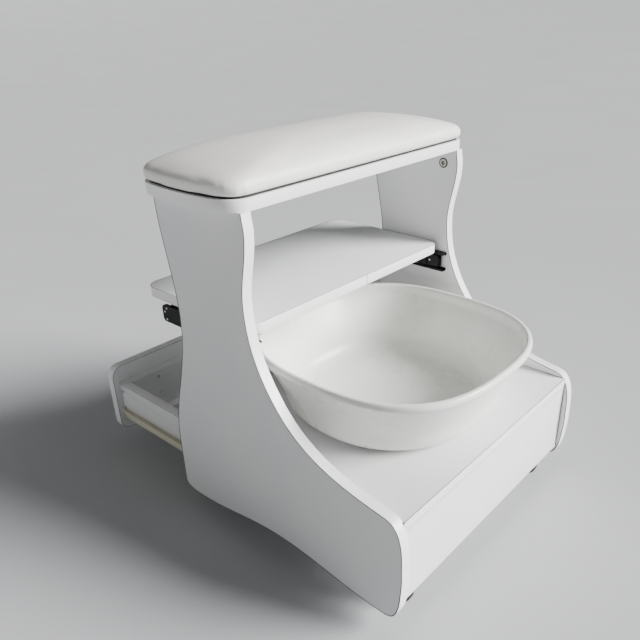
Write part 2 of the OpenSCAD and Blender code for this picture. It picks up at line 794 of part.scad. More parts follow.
// Steel angle that carries the shelf on the slide's inner member
module shelf_bracket(side) {
    low = slide_z - inner_out_h;
    color("#18181a") placed() difference() {
        on_side(side) along_y(bracket_y, bracket_len) union() {
            rect([slide_out_x, low], [slide_out_x + bracket_t, shelf_under_z]);
            rect([slide_out_x, shelf_under_z - bracket_t], [slide_out_x + bracket_foot, shelf_under_z]);
        }
        on_side(side) for (y = bracket_screw_ys) {
            rod([half_w - slide_out_x + 1, y, slide_z], [-1, 0, 0], screw_d / 2 + hole_gap, 4);
            rod([bracket_foot_x, y, shelf_under_z + 1], [0, 0, -1], screw_d / 2 + hole_gap, 4);
        }
        on_side(side) for (share = [0.28, 0.72])
            rod([half_w - slide_out_x + 1, bracket_y + share * bracket_len, slide_z], [-1, 0, 0], 6, 4);
    }
}

// Pan-head screw: head seated at a point, shank along a direction
module pan_screw(point, direction, length) {
    rod(point, direction, screw_d / 2, length);
    rod(point - direction * 1.8, direction, screw_d * 0.95, 1.8);
}

module bracket_screws() {
    color("#2a2a2c") placed() for (side = [-1, 1]) on_side(side) for (y = bracket_screw_ys) {
        pan_screw([half_w - slide_out_x - bracket_t, y, slide_z], [1, 0, 0], 3.4);
        pan_screw([bracket_foot_x, y, shelf_under_z - bracket_t], [0, 0, 1], 12);
    }
}

module slide_screws() {
    color("#2a2a2c") placed() for (side = [-1, 1]) on_side(side) for (y = slide_screw_ys) {
        rod([half_w - 0.3, y, slide_z], [1, 0, 0], screw_d / 2, 10);
        rod([half_w - slide_sheet, y, slide_z], [1, 0, 0], 3.4, slide_sheet - 0.3);
    }
}

module drawer_face() {
    color("#eff0f0") placed() difference() {
        translate([0, face_y + drawer_open + board_t, face_z]) rotate([90, 0, 0])
            linear_extrude(board_t)
                rounded_rect(inner_w - 2 * face_gap, face_h, face_corner_r);
        for (x = face_screw_xs, z = face_screw_zs)
            rod([x, face_y + drawer_open - eps, z], [0, 1, 0], screw_d / 2 + hole_gap, 12);
    }
}

face_screw_xs = [-1, 1] * (drawer_in_w - 60);
face_screw_zs = [box_floor_z + 14, drawer_z + drawer_side_h - 14];
corner_screw_zs = [drawer_z + 22, drawer_z + drawer_side_h - 16];
wall_ys = [drawer_y, drawer_y + drawer_len - board_t];

// Groove for the drawer's bottom
module bottom_groove() {
    translate([-drawer_in_w - drawer_groove, drawer_y + board_t - drawer_groove,
            drawer_z + drawer_bottom_up])
        cube([2 * (drawer_in_w + drawer_groove),
            drawer_len - 2 * (board_t - drawer_groove), drawer_bottom_t]);
}

module drawer_wall(y) {
    translate([-drawer_in_w, y, drawer_z]) cube([2 * drawer_in_w, board_t, drawer_side_h]);
}

module corner_screw_holes() {
    for (s = [-1, 1], y = wall_ys, z = corner_screw_zs)
        rod([s * (drawer_half_w + 1), y + board_t / 2, z], [-s, 0, 0], screw_d / 2 + hole_gap, 42);
}

module drawer_front_wall() {
    color("#e8e9e9") placed() difference() {
        drawer_wall(wall_ys[1]);
        bottom_groove();
        corner_screw_holes();
        for (x = face_screw_xs, z = face_screw_zs)
            rod([x, wall_ys[1] - 1, z], [0, 1, 0], screw_d / 2 + hole_gap, board_t + 2);
    }
}

module drawer_back_wall() {
    color("#e8e9e9") placed() difference() {
        drawer_wall(wall_ys[0]);
        bottom_groove();
        corner_screw_holes();
    }
}

module drawer_side(side) {
    color("#e8e9e9") placed() difference() {
        on_side(side) translate([drawer_in_w, drawer_y, drawer_z])
            cube([board_t, drawer_len, drawer_side_h]);
        bottom_groove();
        corner_screw_holes();
        on_side(side) for (y = wall_ys, z = corner_screw_zs)
            rod([drawer_half_w + eps, y + board_t / 2, z], [-1, 0, 0], 3.6, 1.5);
        on_side(side) for (y = drawer_runner_screw_ys)
            rod([drawer_runner_screw_x, y, drawer_z - eps], [0, 0, 1], screw_d / 2 + hole_gap, 7);
    }
}

module drawer_bottom() {
    w = drawer_in_w + drawer_groove - 0.3;
    color("#d9dada") placed()
        translate([-w, drawer_y + board_t - drawer_groove + 0.3, drawer_z + drawer_bottom_up])
            cube([2 * w, drawer_len - 2 * (board_t - drawer_groove) - 0.6, drawer_bottom_t]);
}

module drawer_divider() {
    color("#e8e9e9") placed() translate([-drawer_in_w, divider_y, box_floor_z])
        cube([2 * drawer_in_w, board_t, drawer_z + drawer_side_h - 12 - box_floor_z]);
}

module drawer_screws() {
    color("#b8b9bb") placed() {
        for (s = [-1, 1], y = wall_ys, z = corner_screw_zs) {
            rod([s * drawer_half_w, y + board_t / 2, z], [-s, 0, 0], screw_d / 2, 40);
            rod([s * drawer_half_w, y + board_t / 2, z], [-s, 0, 0], 3.4, 1.4);
        }
        for (x = face_screw_xs, z = face_screw_zs)
            pan_screw([x, wall_ys[1], z], [0, 1, 0], board_t + 11);
        for (s = [-1, 1]) on_side(s) for (y = drawer_runner_screw_ys)
            pan_screw([drawer_runner_screw_x, y, drawer_z - runner_sheet], [0, 0, 1], 7.5);
    }
}

// Drawer member: a foot under the drawer's side, a web and the rail that rides on the rollers
module drawer_runner(side) {
    color("#cfcab2") placed() {
        difference() {
            on_side(side) along_y(drawer_y, drawer_len - 3) union() {
                rect([drawer_web_x, drawer_z - runner_sheet], [runner_gap, flange_z + runner_sheet]);
                rect([drawer_web_x, drawer_z - runner_sheet], [runner_gap + drawer_runner_foot, drawer_z]);
                rect([3, flange_z], [runner_gap, flange_z + runner_sheet]);
                rect([3, flange_z], [3 + runner_sheet, flange_z + 4]);
            }
            on_side(side) for (y = drawer_runner_screw_ys)
                rod([drawer_runner_screw_x, y, drawer_z + 1], [0, 0, -1], screw_d / 2 + hole_gap, 4);
            // The rail's front end is cut off at a slant
            on_side(side) translate([half_w - 3, drawer_y + drawer_len - 3, flange_z - 2])
                rotate([0, 0, 45]) cube([16, 16, 20], center = true);
        }
        on_side(side) {
            rod([drawer_half_w + runner_sheet / 2, rear_roller_y, rear_roller_z], [1, 0, 0],
                roller_axle_r, drawer_web_x - 3);
            rod([half_w - roller_x + 0.3, rear_roller_y, rear_roller_z], [1, 0, 0], 4, 0.9);
            rod([drawer_half_w + runner_sheet / 2, rear_roller_y, rear_roller_z], [1, 0, 0], 4, 1);
        }
    }
}

// Cabinet member: a channel screwed to the side panel, open above its front roller
module cabinet_runner(side) {
    roof_len = front_roller_y - 14 - cabinet_runner_y;
    color("#cfcab2") placed() {
        difference() {
            on_side(side) {
                along_y(cabinet_runner_y, cabinet_runner_len) union() {
                    rect([0, channel_z], [runner_sheet, channel_roof_z + runner_sheet]);
                    rect([0, channel_z], [channel_w, channel_floor_z]);
                }
                along_y(cabinet_runner_y, roof_len)
                    rect([0, channel_roof_z], [channel_w, channel_roof_z + runner_sheet]);
            }
            on_side(side) for (y = runner_screw_ys)
                rod([half_w + eps, y, rear_roller_z], [-1, 0, 0], screw_d / 2 + hole_gap, 3);
        }
        on_side(side) {
            rod([half_w - runner_sheet / 2, front_roller_y, front_roller_z], [-1, 0, 0],
                roller_axle_r, roller_x + roller_w);
            rod([half_w - roller_x - roller_w - 0.3, front_roller_y, front_roller_z], [-1, 0, 0], 4, 0.6);
            rod([half_w - runner_sheet / 2, front_roller_y, front_roller_z], [-1, 0, 0], 4, 1.6);
        }
    }
}

// Nylon roller: dished faces round a plain bore
module roller(side, y, z) {
    color("#f0efe6") placed() on_side(side) translate([half_w - roller_x - roller_w, y, z])
        rotate([0, 90, 0]) rotate_extrude() difference() {
            polygon([[roller_axle_r + 0.05, 0.2], [5, 0.2], [5, 1], [roller_r - 1.4, 1],
                [roller_r - 0.9, 0], [roller_r - 0.4, 0], [roller_r, 0.4],
                [roller_r, roller_w - 0.4], [roller_r - 0.4, roller_w], [roller_r - 0.9, roller_w],
                [roller_r - 1.4, roller_w - 1], [5, roller_w - 1], [5, roller_w - 0.2],
                [roller_axle_r + 0.05, roller_w - 0.2]]);
        }
}

module runner_screws() {
    color("#b8b9bb") placed() {
        for (s = [-1, 1]) on_side(s) {
            for (y = runner_screw_ys) {
                rod([half_w - runner_sheet, y, rear_roller_z], [1, 0, 0], screw_d / 2, 10);
                rod([half_w - runner_sheet - 1.1, y, rear_roller_z], [1, 0, 0], 3, 1.1);
            }
        }
    }
}

caster_places = [for (y = [caster_front, caster_rear], s = [-1, 1]) [s * caster_x, y]];

module caster_plates() {
    color("#2b2b2d") placed() for (c = caster_places) translate([c[0], c[1], 0]) {
        difference() {
            union() {
                translate([0, -plate_d / 2, base_z - plate_t]) linear_extrude(plate_t)
                    rounded_rect(plate_w, plate_d, 5);
                translate([0, 0, base_z - plate_t - cup_h])
                    cylinder(r1 = 11, r2 = 13, h = cup_h);
            }
            for (x = [-1, 1] * caster_screw_x, y = [-1, 1] * caster_screw_y)
                translate([x, y, base_z - plate_t - 4]) cylinder(r = screw_d / 2 + hole_gap, h = 8);
        }
        // King pin with its riveted head under the fork's crown
        translate([0, 0, crown_z - 0.3]) cylinder(r = 3, h = base_z - crown_z - 0.5);
        translate([0, 0, crown_z - 1.9]) cylinder(r1 = 4, r2 = 5, h = 1.6);
    }
}

module caster_screws() {
    color("#b8b9bb") placed()
        for (c = caster_places, x = [-1, 1] * caster_screw_x, y = [-1, 1] * caster_screw_y)
            pan_screw([c[0] + x, c[1] + y, base_z - plate_t], [0, 0, 1], 12);
}

// Fork: crown disc, two legs and a riveted axle
module caster_fork(c) {
    leg_x = wheel_w / 2 + wheel_side_gap;
    axle_y = -caster_trail;
    crown_r = 12;
    color("#242426") placed() translate([c[0], c[1], 0]) {
        difference() {
            union() {
                translate([0, 0, crown_z]) cylinder(r = crown_r, h = crown_t);
                for (s = [-1, 1]) translate([s * (leg_x + fork_t / 2) - fork_t / 2, 0, 0])
                    rotate([90, 0, 90]) linear_extrude(fork_t) {
                        polygon([[-8.5, crown_z + crown_t], [8.5, crown_z + crown_t],
                            [8.5, crown_z - 2], [axle_y + 4.2, wheel_r - 2.6],
                            [axle_y - 4.6, wheel_r + 1]]);
                        translate([axle_y, wheel_r]) circle(5);
                    }
            }
            translate([0, 0, crown_z - 1]) cylinder(r = 3.05, h = crown_t + 2);
        }
        rod([-leg_x - fork_t - 0.8, axle_y, wheel_r], [1, 0, 0], axle_r - 0.05, 2 * (leg_x + fork_t + 0.8));
        for (s = [-1, 1])
            rod([s * (leg_x + fork_t - 0.2), axle_y, wheel_r], [s, 0, 0], axle_r + 1, 1);
    }
}

// Wheel: tread, recessed web and hub round a plain bore
module caster_wheel(c) {
    h = wheel_w / 2;
    color("#1a1a1c") placed() translate([c[0], c[1] - caster_trail, wheel_r])
        rotate([0, 90, 0]) rotate_extrude() polygon([
            [axle_r, -h - 0.4], [axle_r + 3, -h - 0.4], [axle_r + 3.6, -h + 2.5],
            [wheel_r - 4.5, -h + 2.5], [wheel_r - 3.6, -h], [wheel_r - 1.5, -h],
            [wheel_r - 0.4, -h + 1], [wheel_r, -h + 3], [wheel_r, h - 3], [wheel_r - 0.4, h - 1],
            [wheel_r - 1.5, h], [wheel_r - 3.6, h], [wheel_r - 4.5, h - 2.5],
            [axle_r + 3.6, h - 2.5], [axle_r + 3, h + 0.4], [axle_r, h + 0.4]]);
}

// Basin: the wall grows squarer and deeper from the top of the foot's round to the rim
rim_h = 12;
foot_power = 2.2;
rim_power = 2.69;
foot_depth_ratio = 0.974;
rim_depth_ratio = basin_half_d / basin_half_w;
wall_flare = 1.3;
wall_z = basin_h - rim_h;
wall_r = basin_half_w - basin_rim_out;
round_top_r = basin_foot_half_w + basin_round_r;

function blend(low, high, share) = low + (high - low) * share;

// One level of the basin, a squarish oval of half width r at height z
function basin_ring(r, z) =
    let (share = max(0, min(1, (z - basin_round_r) / (wall_z - basin_round_r))),
        bend = 2 / blend(foot_power, rim_power, share),
        d = r * blend(foot_depth_ratio, rim_depth_ratio, share))
    [for (i = [0:basin_sides - 1])
        let (c = cos(360 * i / basin_sides), s = sin(360 * i / basin_sides))
        [r * sign(c) * pow(abs(c), bend), d * sign(s) * pow(abs(s), bend) + basin_y, basin_z + z]];

// A level of the foot's round, by angle, and one of the wall, by share of its height
function round_ring(angle, inset) =
    let (r = basin_round_r - inset)
    basin_ring(basin_foot_half_w + r * sin(angle), basin_round_r - r * cos(angle));
function wall_ring(share, inset) =
    basin_ring(blend(round_top_r, wall_r, pow(share, wall_flare)) - inset,
        blend(basin_round_r, wall_z, share));

// The rim: [step from the half width, step from the height]
rim_steps = [[-0.5, -11.5], [0, -8], [-1, -3], [-4.5, 0], [-8.5, -0.5], [-10.7, -4]];
basin_rings = concat(
    [for (angle = [0:15:75]) round_ring(angle, 0)],
    [for (share = [0:0.2:1]) wall_ring(share, 0)],
    [for (p = rim_steps) basin_ring(basin_half_w + p[0], basin_h + p[1])],
    [for (share = [1:-0.2:0]) wall_ring(share, basin_t)],
    [for (angle = [75:-15:0]) round_ring(angle, basin_t)]
);

module basin() {
    color("#f1f1ec") placed()
        ring_stack(basin_rings, basin_z, basin_z + basin_t, [0, basin_y]);
}

side_panel(-1);  // side_panel_left
side_panel(1);  // side_panel_right
edge_band(-1);  // edge_band_left
edge_band(1);  // edge_band_right
top_board();
cushion_base();
cushion_pad();
cushion_screws();
platform_board();
front_apron();
back_panel();
base_board();
cam_locks();
cam_bolts();
dowels();
sliding_shelf();
shelf_bracket(-1);  // shelf_bracket_left
shelf_bracket(1);  // shelf_bracket_right
bracket_screws();
slide_outer(-1);  // slide_outer_left
slide_outer(1);  // slide_outer_right
slide_middle(-1);  // slide_middle_left
slide_middle(1);  // slide_middle_right
slide_inner(-1);  // slide_inner_left
slide_inner(1);  // slide_inner_right
ball_cage(-1, slide_sheet + web_gap, ball_x1, ball_z1);  // ball_cage_outer_left
ball_cage(1, slide_sheet + web_gap, ball_x1, ball_z1);  // ball_cage_outer_right
ball_cage(-1, middle_x + slide_sheet + web_gap, ball_x2, ball_z2);  // ball_cage_inner_left
ball_cage(1, middle_x + slide_sheet + web_gap, ball_x2, ball_z2);  // ball_cage_inner_right
slide_screws();
drawer_face();
drawer_front_wall();
drawer_back_wall();
drawer_side(-1);  // drawer_side_left
drawer_side(1);  // drawer_side_right
drawer_bottom();
drawer_divider();
drawer_screws();
drawer_runner(-1);  // drawer_runner_left
drawer_runner(1);  // drawer_runner_right
cabinet_runner(-1);  // cabinet_runner_left
cabinet_runner(1);  // cabinet_runner_right
roller(-1, front_roller_y, front_roller_z);  // front_roller_left
roller(1, front_roller_y, front_roller_z);  // front_roller_right
roller(-1, rear_roller_y, rear_roller_z);  // rear_roller_left
roller(1, rear_roller_y, rear_roller_z);  // rear_roller_right
runner_screws();
caster_plates();
caster_screws();
caster_fork(caster_places[0]);  // caster_fork_front_left
caster_fork(caster_places[1]);  // caster_fork_front_right
caster_fork(caster_places[2]);  // caster_fork_rear_left
caster_fork(caster_places[3]);  // caster_fork_rear_right
caster_wheel(caster_places[0]);  // caster_wheel_front_left
caster_wheel(caster_places[1]);  // caster_wheel_front_right
caster_wheel(caster_places[2]);  // caster_wheel_rear_left
caster_wheel(caster_places[3]);  // caster_wheel_rear_right
basin();
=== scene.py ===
# %% [markdown]
# # Dressing a rolling pedicure station
# The station is already built as solid CAD parts, in metres, with every moving part on its own
# body. This notebook gives it its looks: melamine boards with edge bands, a leatherette footrest,
# a moulded foot basin, coated steel runners and small plated screws. Each step says what the
# real piece is and why it is made in this way.

import json
import math

import bmesh
import bpy
import numpy as np
from mathutils import Matrix, Vector

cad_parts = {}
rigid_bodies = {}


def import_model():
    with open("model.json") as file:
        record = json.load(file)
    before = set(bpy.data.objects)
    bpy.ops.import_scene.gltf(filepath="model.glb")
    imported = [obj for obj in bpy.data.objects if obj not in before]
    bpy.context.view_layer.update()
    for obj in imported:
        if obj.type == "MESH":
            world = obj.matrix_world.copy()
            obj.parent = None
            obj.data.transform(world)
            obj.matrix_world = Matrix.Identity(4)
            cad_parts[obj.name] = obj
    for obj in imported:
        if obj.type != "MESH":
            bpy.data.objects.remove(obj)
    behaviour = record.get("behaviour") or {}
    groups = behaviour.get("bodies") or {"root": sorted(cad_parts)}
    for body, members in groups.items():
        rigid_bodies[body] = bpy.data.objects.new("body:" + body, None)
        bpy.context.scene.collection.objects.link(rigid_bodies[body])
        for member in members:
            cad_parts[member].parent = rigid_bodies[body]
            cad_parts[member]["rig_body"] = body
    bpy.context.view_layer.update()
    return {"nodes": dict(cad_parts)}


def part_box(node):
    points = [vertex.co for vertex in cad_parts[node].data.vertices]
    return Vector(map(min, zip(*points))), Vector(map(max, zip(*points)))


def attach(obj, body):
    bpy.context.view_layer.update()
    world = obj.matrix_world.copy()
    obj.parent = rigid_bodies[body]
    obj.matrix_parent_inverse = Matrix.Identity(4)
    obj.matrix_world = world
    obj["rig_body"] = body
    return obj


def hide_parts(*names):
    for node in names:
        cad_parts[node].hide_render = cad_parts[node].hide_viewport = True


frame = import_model()
scene = bpy.context.scene

# %% [markdown]
# ## Camera
# The view is from the front left and above, with a slightly wide lens. Three Euler angles could
# turn the camera, but their order is easily mistaken, so its axes are worked out instead: its
# right, its up, and the way it looks. A small lens shift places the object in the frame without
# turning.

# %% Camera
YAW, PITCH, ROLL = 49.167, 27.225, -0.93
EYE = Vector((-0.7665, -0.7180, 0.7725))
LENS_MM, SENSOR_MM = 37.69, 36
SHIFT = (-0.0483, 0.0417)
NEAREST = 0.02


def camera_turn(yaw, pitch, roll):
    """Columns are the camera's right, its up, and backwards."""
    y, p, r = (math.radians(angle) for angle in (yaw, pitch, roll))
    look = Vector((math.sin(y) * math.cos(p), math.cos(y) * math.cos(p), -math.sin(p)))
    right = Vector((math.cos(y), -math.sin(y), 0))
    up = right.cross(look)
    turned_right = right * math.cos(r) + up * math.sin(r)
    turned_up = up * math.cos(r) - right * math.sin(r)
    return Matrix((turned_right, turned_up, -look)).transposed()


camera = bpy.data.objects.new("camera", bpy.data.cameras.new("camera"))
camera.matrix_world = Matrix.Translation(EYE) @ camera_turn(YAW, PITCH, ROLL).to_4x4()
camera.data.lens = LENS_MM
camera.data.sensor_width = SENSOR_MM
camera.data.shift_x, camera.data.shift_y = SHIFT
camera.data.clip_start = NEAREST
scene.collection.objects.link(camera)
scene.camera = camera
print("camera at", tuple(round(c, 3) for c in EYE))

# %% [markdown]
# ## Light
# Soft studio light: a large distant key from the front right makes the faces that look that way
# white and falls evenly on the floor. A dim panel lights the left side, a small one reaches into
# the open drawer, and the pale surroundings fill the rest.


# %% Colour helper
def srgb(code):
    """A hex colour as the linear numbers that a shader works with."""
    parts = [int(code[i : i + 2], 16) / 255 for i in (1, 3, 5)]
    return tuple(c / 12.92 if c <= 0.04045 else ((c + 0.055) / 1.055) ** 2.4 for c in parts)


# %% Lights
KEY_TOWARDS = Vector((0.52, -0.74, 0.43))
KEY_STRENGTH, KEY_SPREAD = 10.8, 32
SURROUNDINGS = 0.11


def softbox(name, place, target, size, watts):
    """A square panel of light that looks at a target."""
    lamp = bpy.data.lights.new(name, "AREA")
    lamp.shape = "SQUARE"
    lamp.size = size
    lamp.energy = watts
    box = bpy.data.objects.new(name, lamp)
    box.location = place
    box.rotation_euler = (Vector(target) - Vector(place)).to_track_quat("-Z", "Y").to_euler()
    scene.collection.objects.link(box)


key = bpy.data.lights.new("key_light", "SUN")
key.energy = KEY_STRENGTH
key.angle = math.radians(KEY_SPREAD)
key_light = bpy.data.objects.new("key_light", key)
key_light.rotation_euler = KEY_TOWARDS.to_track_quat("Z", "Y").to_euler()
scene.collection.objects.link(key_light)
softbox("left_fill", place=(-2.4, 0.2, 1.4), target=(0, 0, 0.3), size=1.6, watts=0.5)
softbox("drawer_fill", place=(-1.0, 1.0, 0.5), target=(-0.2, 0.28, 0.1), size=0.6, watts=2.2)

world = bpy.data.worlds.new("studio")
world.use_nodes = True
glow = world.node_tree.nodes["Background"]
glow.inputs["Color"].default_value = (*srgb("#EDEEF0"), 1)
glow.inputs["Strength"].default_value = SURROUNDINGS
scene.world = world
print("lights", [lamp.name for lamp in bpy.data.lights], "surroundings", SURROUNDINGS)

# %% [markdown]
# ## Materials
# One small function adds a node with its settings and its links, and every finish is a short
# tree of such nodes. Patterns are sized in millimetres on the object's own coordinates, so they
# need no unwrapping, and they stay on a piece when its body moves.


# %% Node helper
def add(tree, kind, values=(), **settings):
    """Adds one node. A value is a number, or the socket that it is linked from."""
    node = tree.nodes.new(kind)
    for key, value in settings.items():
        setattr(node, key, value)
    for key, value in dict(values).items():
        if isinstance(value, bpy.types.NodeSocket):
            tree.links.new(value, node.inputs[key])
        else:
            node.inputs[key].default_value = value
    return node


def per_mm(size):
    """Texture scale for a pattern that repeats every size millimetres."""
    return 1000 / size


# %% Surface helpers
TONE_STOPS = (0.35, 0.65)
SHEEN_STOPS = (0.3, 0.7)


def finish_of(name, colour, shader):
    """A Principled material, and its surface: the tree, the shader and Object coordinates."""
    made = bpy.data.materials.new(name)
    made.use_nodes = True
    tree = made.node_tree
    tree.nodes.clear()
    bsdf = add(tree, "ShaderNodeBsdfPrincipled", {"Base Color": (*srgb(colour), 1), **shader})
    add(tree, "ShaderNodeOutputMaterial", {"Surface": bsdf.outputs["BSDF"]})
    places = add(tree, "ShaderNodeTexCoord").outputs["Object"]
    print("finish", name)
    return made, (tree, bsdf, places)


def blotch(surface, low, high, size):
    """The colour drifts between two close tones, in patches of a size in millimetres."""
    tree, bsdf, places = surface
    cloud = add(tree, "ShaderNodeTexNoise",
                {"Vector": places, "Scale": per_mm(size), "Detail": 3})
    ramp = add(tree, "ShaderNodeValToRGB", {"Fac": cloud.outputs["Fac"]})
    for stop, place, tone in zip(ramp.color_ramp.elements, TONE_STOPS, (low, high)):
        stop.position = place
        stop.color = (*srgb(tone), 1)
    tree.links.new(ramp.outputs["Color"], bsdf.inputs["Base Color"])


def sheen_drift(surface, low, high, size):
    """The roughness drifts between two values, as handling leaves it."""
    tree, bsdf, places = surface
    cloud = add(tree, "ShaderNodeTexNoise",
                {"Vector": places, "Scale": per_mm(size), "Detail": 4, "Roughness": 0.6})
    spread = add(tree, "ShaderNodeMapRange",
                 {"Value": cloud.outputs["Fac"], "From Min": SHEEN_STOPS[0],
                  "From Max": SHEEN_STOPS[1], "To Min": low, "To Max": high})
    tree.links.new(spread.outputs["Result"], bsdf.inputs["Roughness"])


def uneven(surface, size, depth, strength, detail=2):
    """The surface rises and falls a little. Size and depth are in millimetres."""
    tree, bsdf, places = surface
    cloud = add(tree, "ShaderNodeTexNoise",
                {"Vector": places, "Scale": per_mm(size), "Detail": detail})
    bump = add(tree, "ShaderNodeBump",
               {"Height": cloud.outputs["Fac"], "Distance": depth / 1000, "Strength": strength})
    tree.links.new(bump.outputs["Normal"], bsdf.inputs["Normal"])


# %% [markdown]
# White melamine board: paper soaked in resin and pressed on particle board. The press plate
# leaves a satin skin with a very shallow orange peel, which breaks a reflection up softly.

# %% Melamine board
melamine, surface = finish_of("melamine_board", "#E4E5E5", {"Roughness": 0.38, "IOR": 1.5})
blotch(surface, "#E1E2E3", "#E7E7E6", 160)
sheen_drift(surface, 0.33, 0.45, 45)
uneven(surface, 1.6, 0.02, 0.35)

# %% [markdown]
# ABS edge band: a 1 mm strip of plastic glued round the board's edge. It is a little whiter and
# glossier than the board's face, and trimming and buffing leave it faintly uneven.

# %% Edge band
edge_band, surface = finish_of("abs_edge_band", "#F6F6F4", {"Roughness": 0.3, "IOR": 1.53})
blotch(surface, "#F3F3F1", "#F8F8F7", 60)
sheen_drift(surface, 0.26, 0.38, 18)
uneven(surface, 0.9, 0.02, 0.3, detail=1)

# %% [markdown]
# Hot-melt glue line: where the band meets the board's face, the glue shows as a thin line that
# gathers dust. It is drawn wider and darker than the glue: partly glue and dust, partly painted
# shade of the edge and of the gap beside it.

# %% Glue line and painted shade
# Dark glue and dust, with painted shade of the edges and gaps in the same colour
glue_and_shade_line, surface = finish_of("hot_melt_glue", "#3A3A38", {"Roughness": 0.7})
blotch(surface, "#2C2C2A", "#4A4A47", 14)

# %% [markdown]
# Leatherette: a PVC skin on knit backing, embossed with a fine pebble grain. The real grain is
# irregular cells about a millimetre across. It is drawn at 1.5 mm, so that it shows, and its
# cells are bent by noise. Wide wrinkles lie under it, and the sheen is soft.

# %% Leatherette
GRAIN_MM = 1.5
GRAIN_BEND = 0.0006
GRAIN_DEPTH_MM = 0.1
leatherette, surface = finish_of(
    "pvc_leatherette", "#EFEDE8",
    {"Roughness": 0.46, "IOR": 1.5, "Coat Weight": 0.08, "Coat Roughness": 0.4})
blotch(surface, "#ECEAE4", "#F2F0EC", 90)
sheen_drift(surface, 0.4, 0.54, 25)
tree, bsdf, places = surface
warp = add(tree, "ShaderNodeTexNoise", {"Vector": places, "Scale": per_mm(3), "Detail": 2})
bent = add(tree, "ShaderNodeVectorMath",
           {0: warp.outputs["Color"], 1: (GRAIN_BEND, GRAIN_BEND, GRAIN_BEND), 2: places},
           operation="MULTIPLY_ADD")
pebble = add(tree, "ShaderNodeTexVoronoi",
             {"Vector": bent.outputs["Vector"], "Scale": per_mm(GRAIN_MM)}, feature="SMOOTH_F1")
wrinkle = add(tree, "ShaderNodeTexNoise", {"Vector": places, "Scale": per_mm(14), "Detail": 3})
grain = add(tree, "ShaderNodeMath", {0: pebble.outputs["Distance"], 1: wrinkle.outputs["Fac"]},
            operation="ADD")
bump = add(tree, "ShaderNodeBump",
           {"Height": grain.outputs["Value"], "Distance": GRAIN_DEPTH_MM / 1000, "Strength": 0.4})
tree.links.new(bump.outputs["Normal"], bsdf.inputs["Normal"])

# %% [markdown]
# Polypropylene: the basin is injection moulded, white and slightly waxy. Light goes a little
# way in, and the slow flow of the melt leaves wide, very shallow waves in its skin.

# %% Polypropylene
polypropylene, surface = finish_of(
    "moulded_polypropylene", "#EEEEEA",
    {"Roughness": 0.27, "IOR": 1.49, "Subsurface Weight": 0.04,
     "Subsurface Radius": (0.004, 0.004, 0.0035), "Subsurface Scale": 1.0})
blotch(surface, "#EBEBE6", "#F0F0ED", 120)
sheen_drift(surface, 0.24, 0.32, 70)
uneven(surface, 90, 0.2, 0.2, detail=1)

# %% [markdown]
# Coated steel: the shelf's slides, the brackets and the casters are dip-coated, which gives a deep
# black with little shine. The drawer's runners have a cream powder coat with its orange peel.

# %% Coated steel
black_coat, surface = finish_of("black_coated_steel", "#08080A",
                                {"Roughness": 0.48, "IOR": 1.5, "Specular IOR Level": 0.2})
blotch(surface, "#060607", "#0D0D0E", 20)
sheen_drift(surface, 0.4, 0.56, 8)
uneven(surface, 1.2, 0.03, 0.3)

cream_coat, surface = finish_of("cream_powder_coat", "#CFCBB4", {"Roughness": 0.42, "IOR": 1.5})
blotch(surface, "#C9C5AD", "#D4D0BB", 35)
sheen_drift(surface, 0.36, 0.5, 10)
uneven(surface, 1.1, 0.05, 0.5, detail=1)

# %% [markdown]
# Zinc: balls, cages and screws are plated bright, so they mirror the room with a fine haze. The
# cam locks are cast. Their ring is dull grey metal with a grainy skin. The housing round it is
# nearly black and hardly shines: painted shadow of the gap round the ring and of its recess.

# %% Zinc
zinc, surface = finish_of("bright_zinc_plate", "#C4C6C8", {"Roughness": 0.3, "Metallic": 1.0})
blotch(surface, "#B7B9BC", "#D0D1D2", 4)
sheen_drift(surface, 0.2, 0.42, 3)

# Painted shade: the housing's near-black stands for the shadow in the gap round each ring and in
# its recess.
painted_gap_shade, surface = finish_of("dark_zinc_oxide", "#1A1917", {"Roughness": 0.7})
blotch(surface, "#131211", "#242320", 3)

die_cast, surface = finish_of("die_cast_zinc", "#B5B2AA", {"Roughness": 0.42, "Metallic": 0.8})
blotch(surface, "#A8A59E", "#C0BDB6", 3)
uneven(surface, 0.8, 0.03, 0.4)

# %% [markdown]
# Nylon: the runner rollers are natural white, the caster wheels black. Both are moulded with a
# fine matte skin. The dowels are turned beech, warm and dry, and the cushion sits on a black
# fibreboard, which is flat and dull. Its black is partly painted shadow of the gap under the
# cushion.

# %% Nylon, beech and black board
nylon, surface = finish_of("natural_nylon", "#EDEAE0", {"Roughness": 0.4, "IOR": 1.53})
blotch(surface, "#E6E3D8", "#F1EFE6", 6)

black_nylon, surface = finish_of("black_nylon", "#171718", {"Roughness": 0.45, "IOR": 1.53})
blotch(surface, "#131314", "#222223", 9)
uneven(surface, 0.7, 0.04, 0.4)

beech, surface = finish_of("turned_beech", "#D8B98A", {"Roughness": 0.55})
blotch(surface, "#CDA877", "#DDC196", 5)

# Partly painted shade: the black also stands for the shadow in the gap under the cushion's edge.
black_board_and_gap_shade, surface = finish_of("black_fibreboard", "#141414", {"Roughness": 0.7})
blotch(surface, "#101010", "#1C1C1B", 12)

# %% [markdown]
# ## Boards
# Real boards have edges broken by a scraper, and their edges carry a band of another plastic.
# A CAD solid's mesh is loose triangles, so a bevel can't work on it. Each board is a merged copy
# of its solid instead: its corners get a small bevel, and the faces on its banded edges take the
# band's finish. The copy then stands for the CAD solid.

# %% Mesh helpers
SAME_PLACE = 1e-6


def merged(mesh):
    """A mesh opened for editing, with its doubles merged."""
    work = bmesh.new()
    work.from_mesh(mesh)
    bmesh.ops.remove_doubles(work, verts=work.verts, dist=SAME_PLACE)
    return work


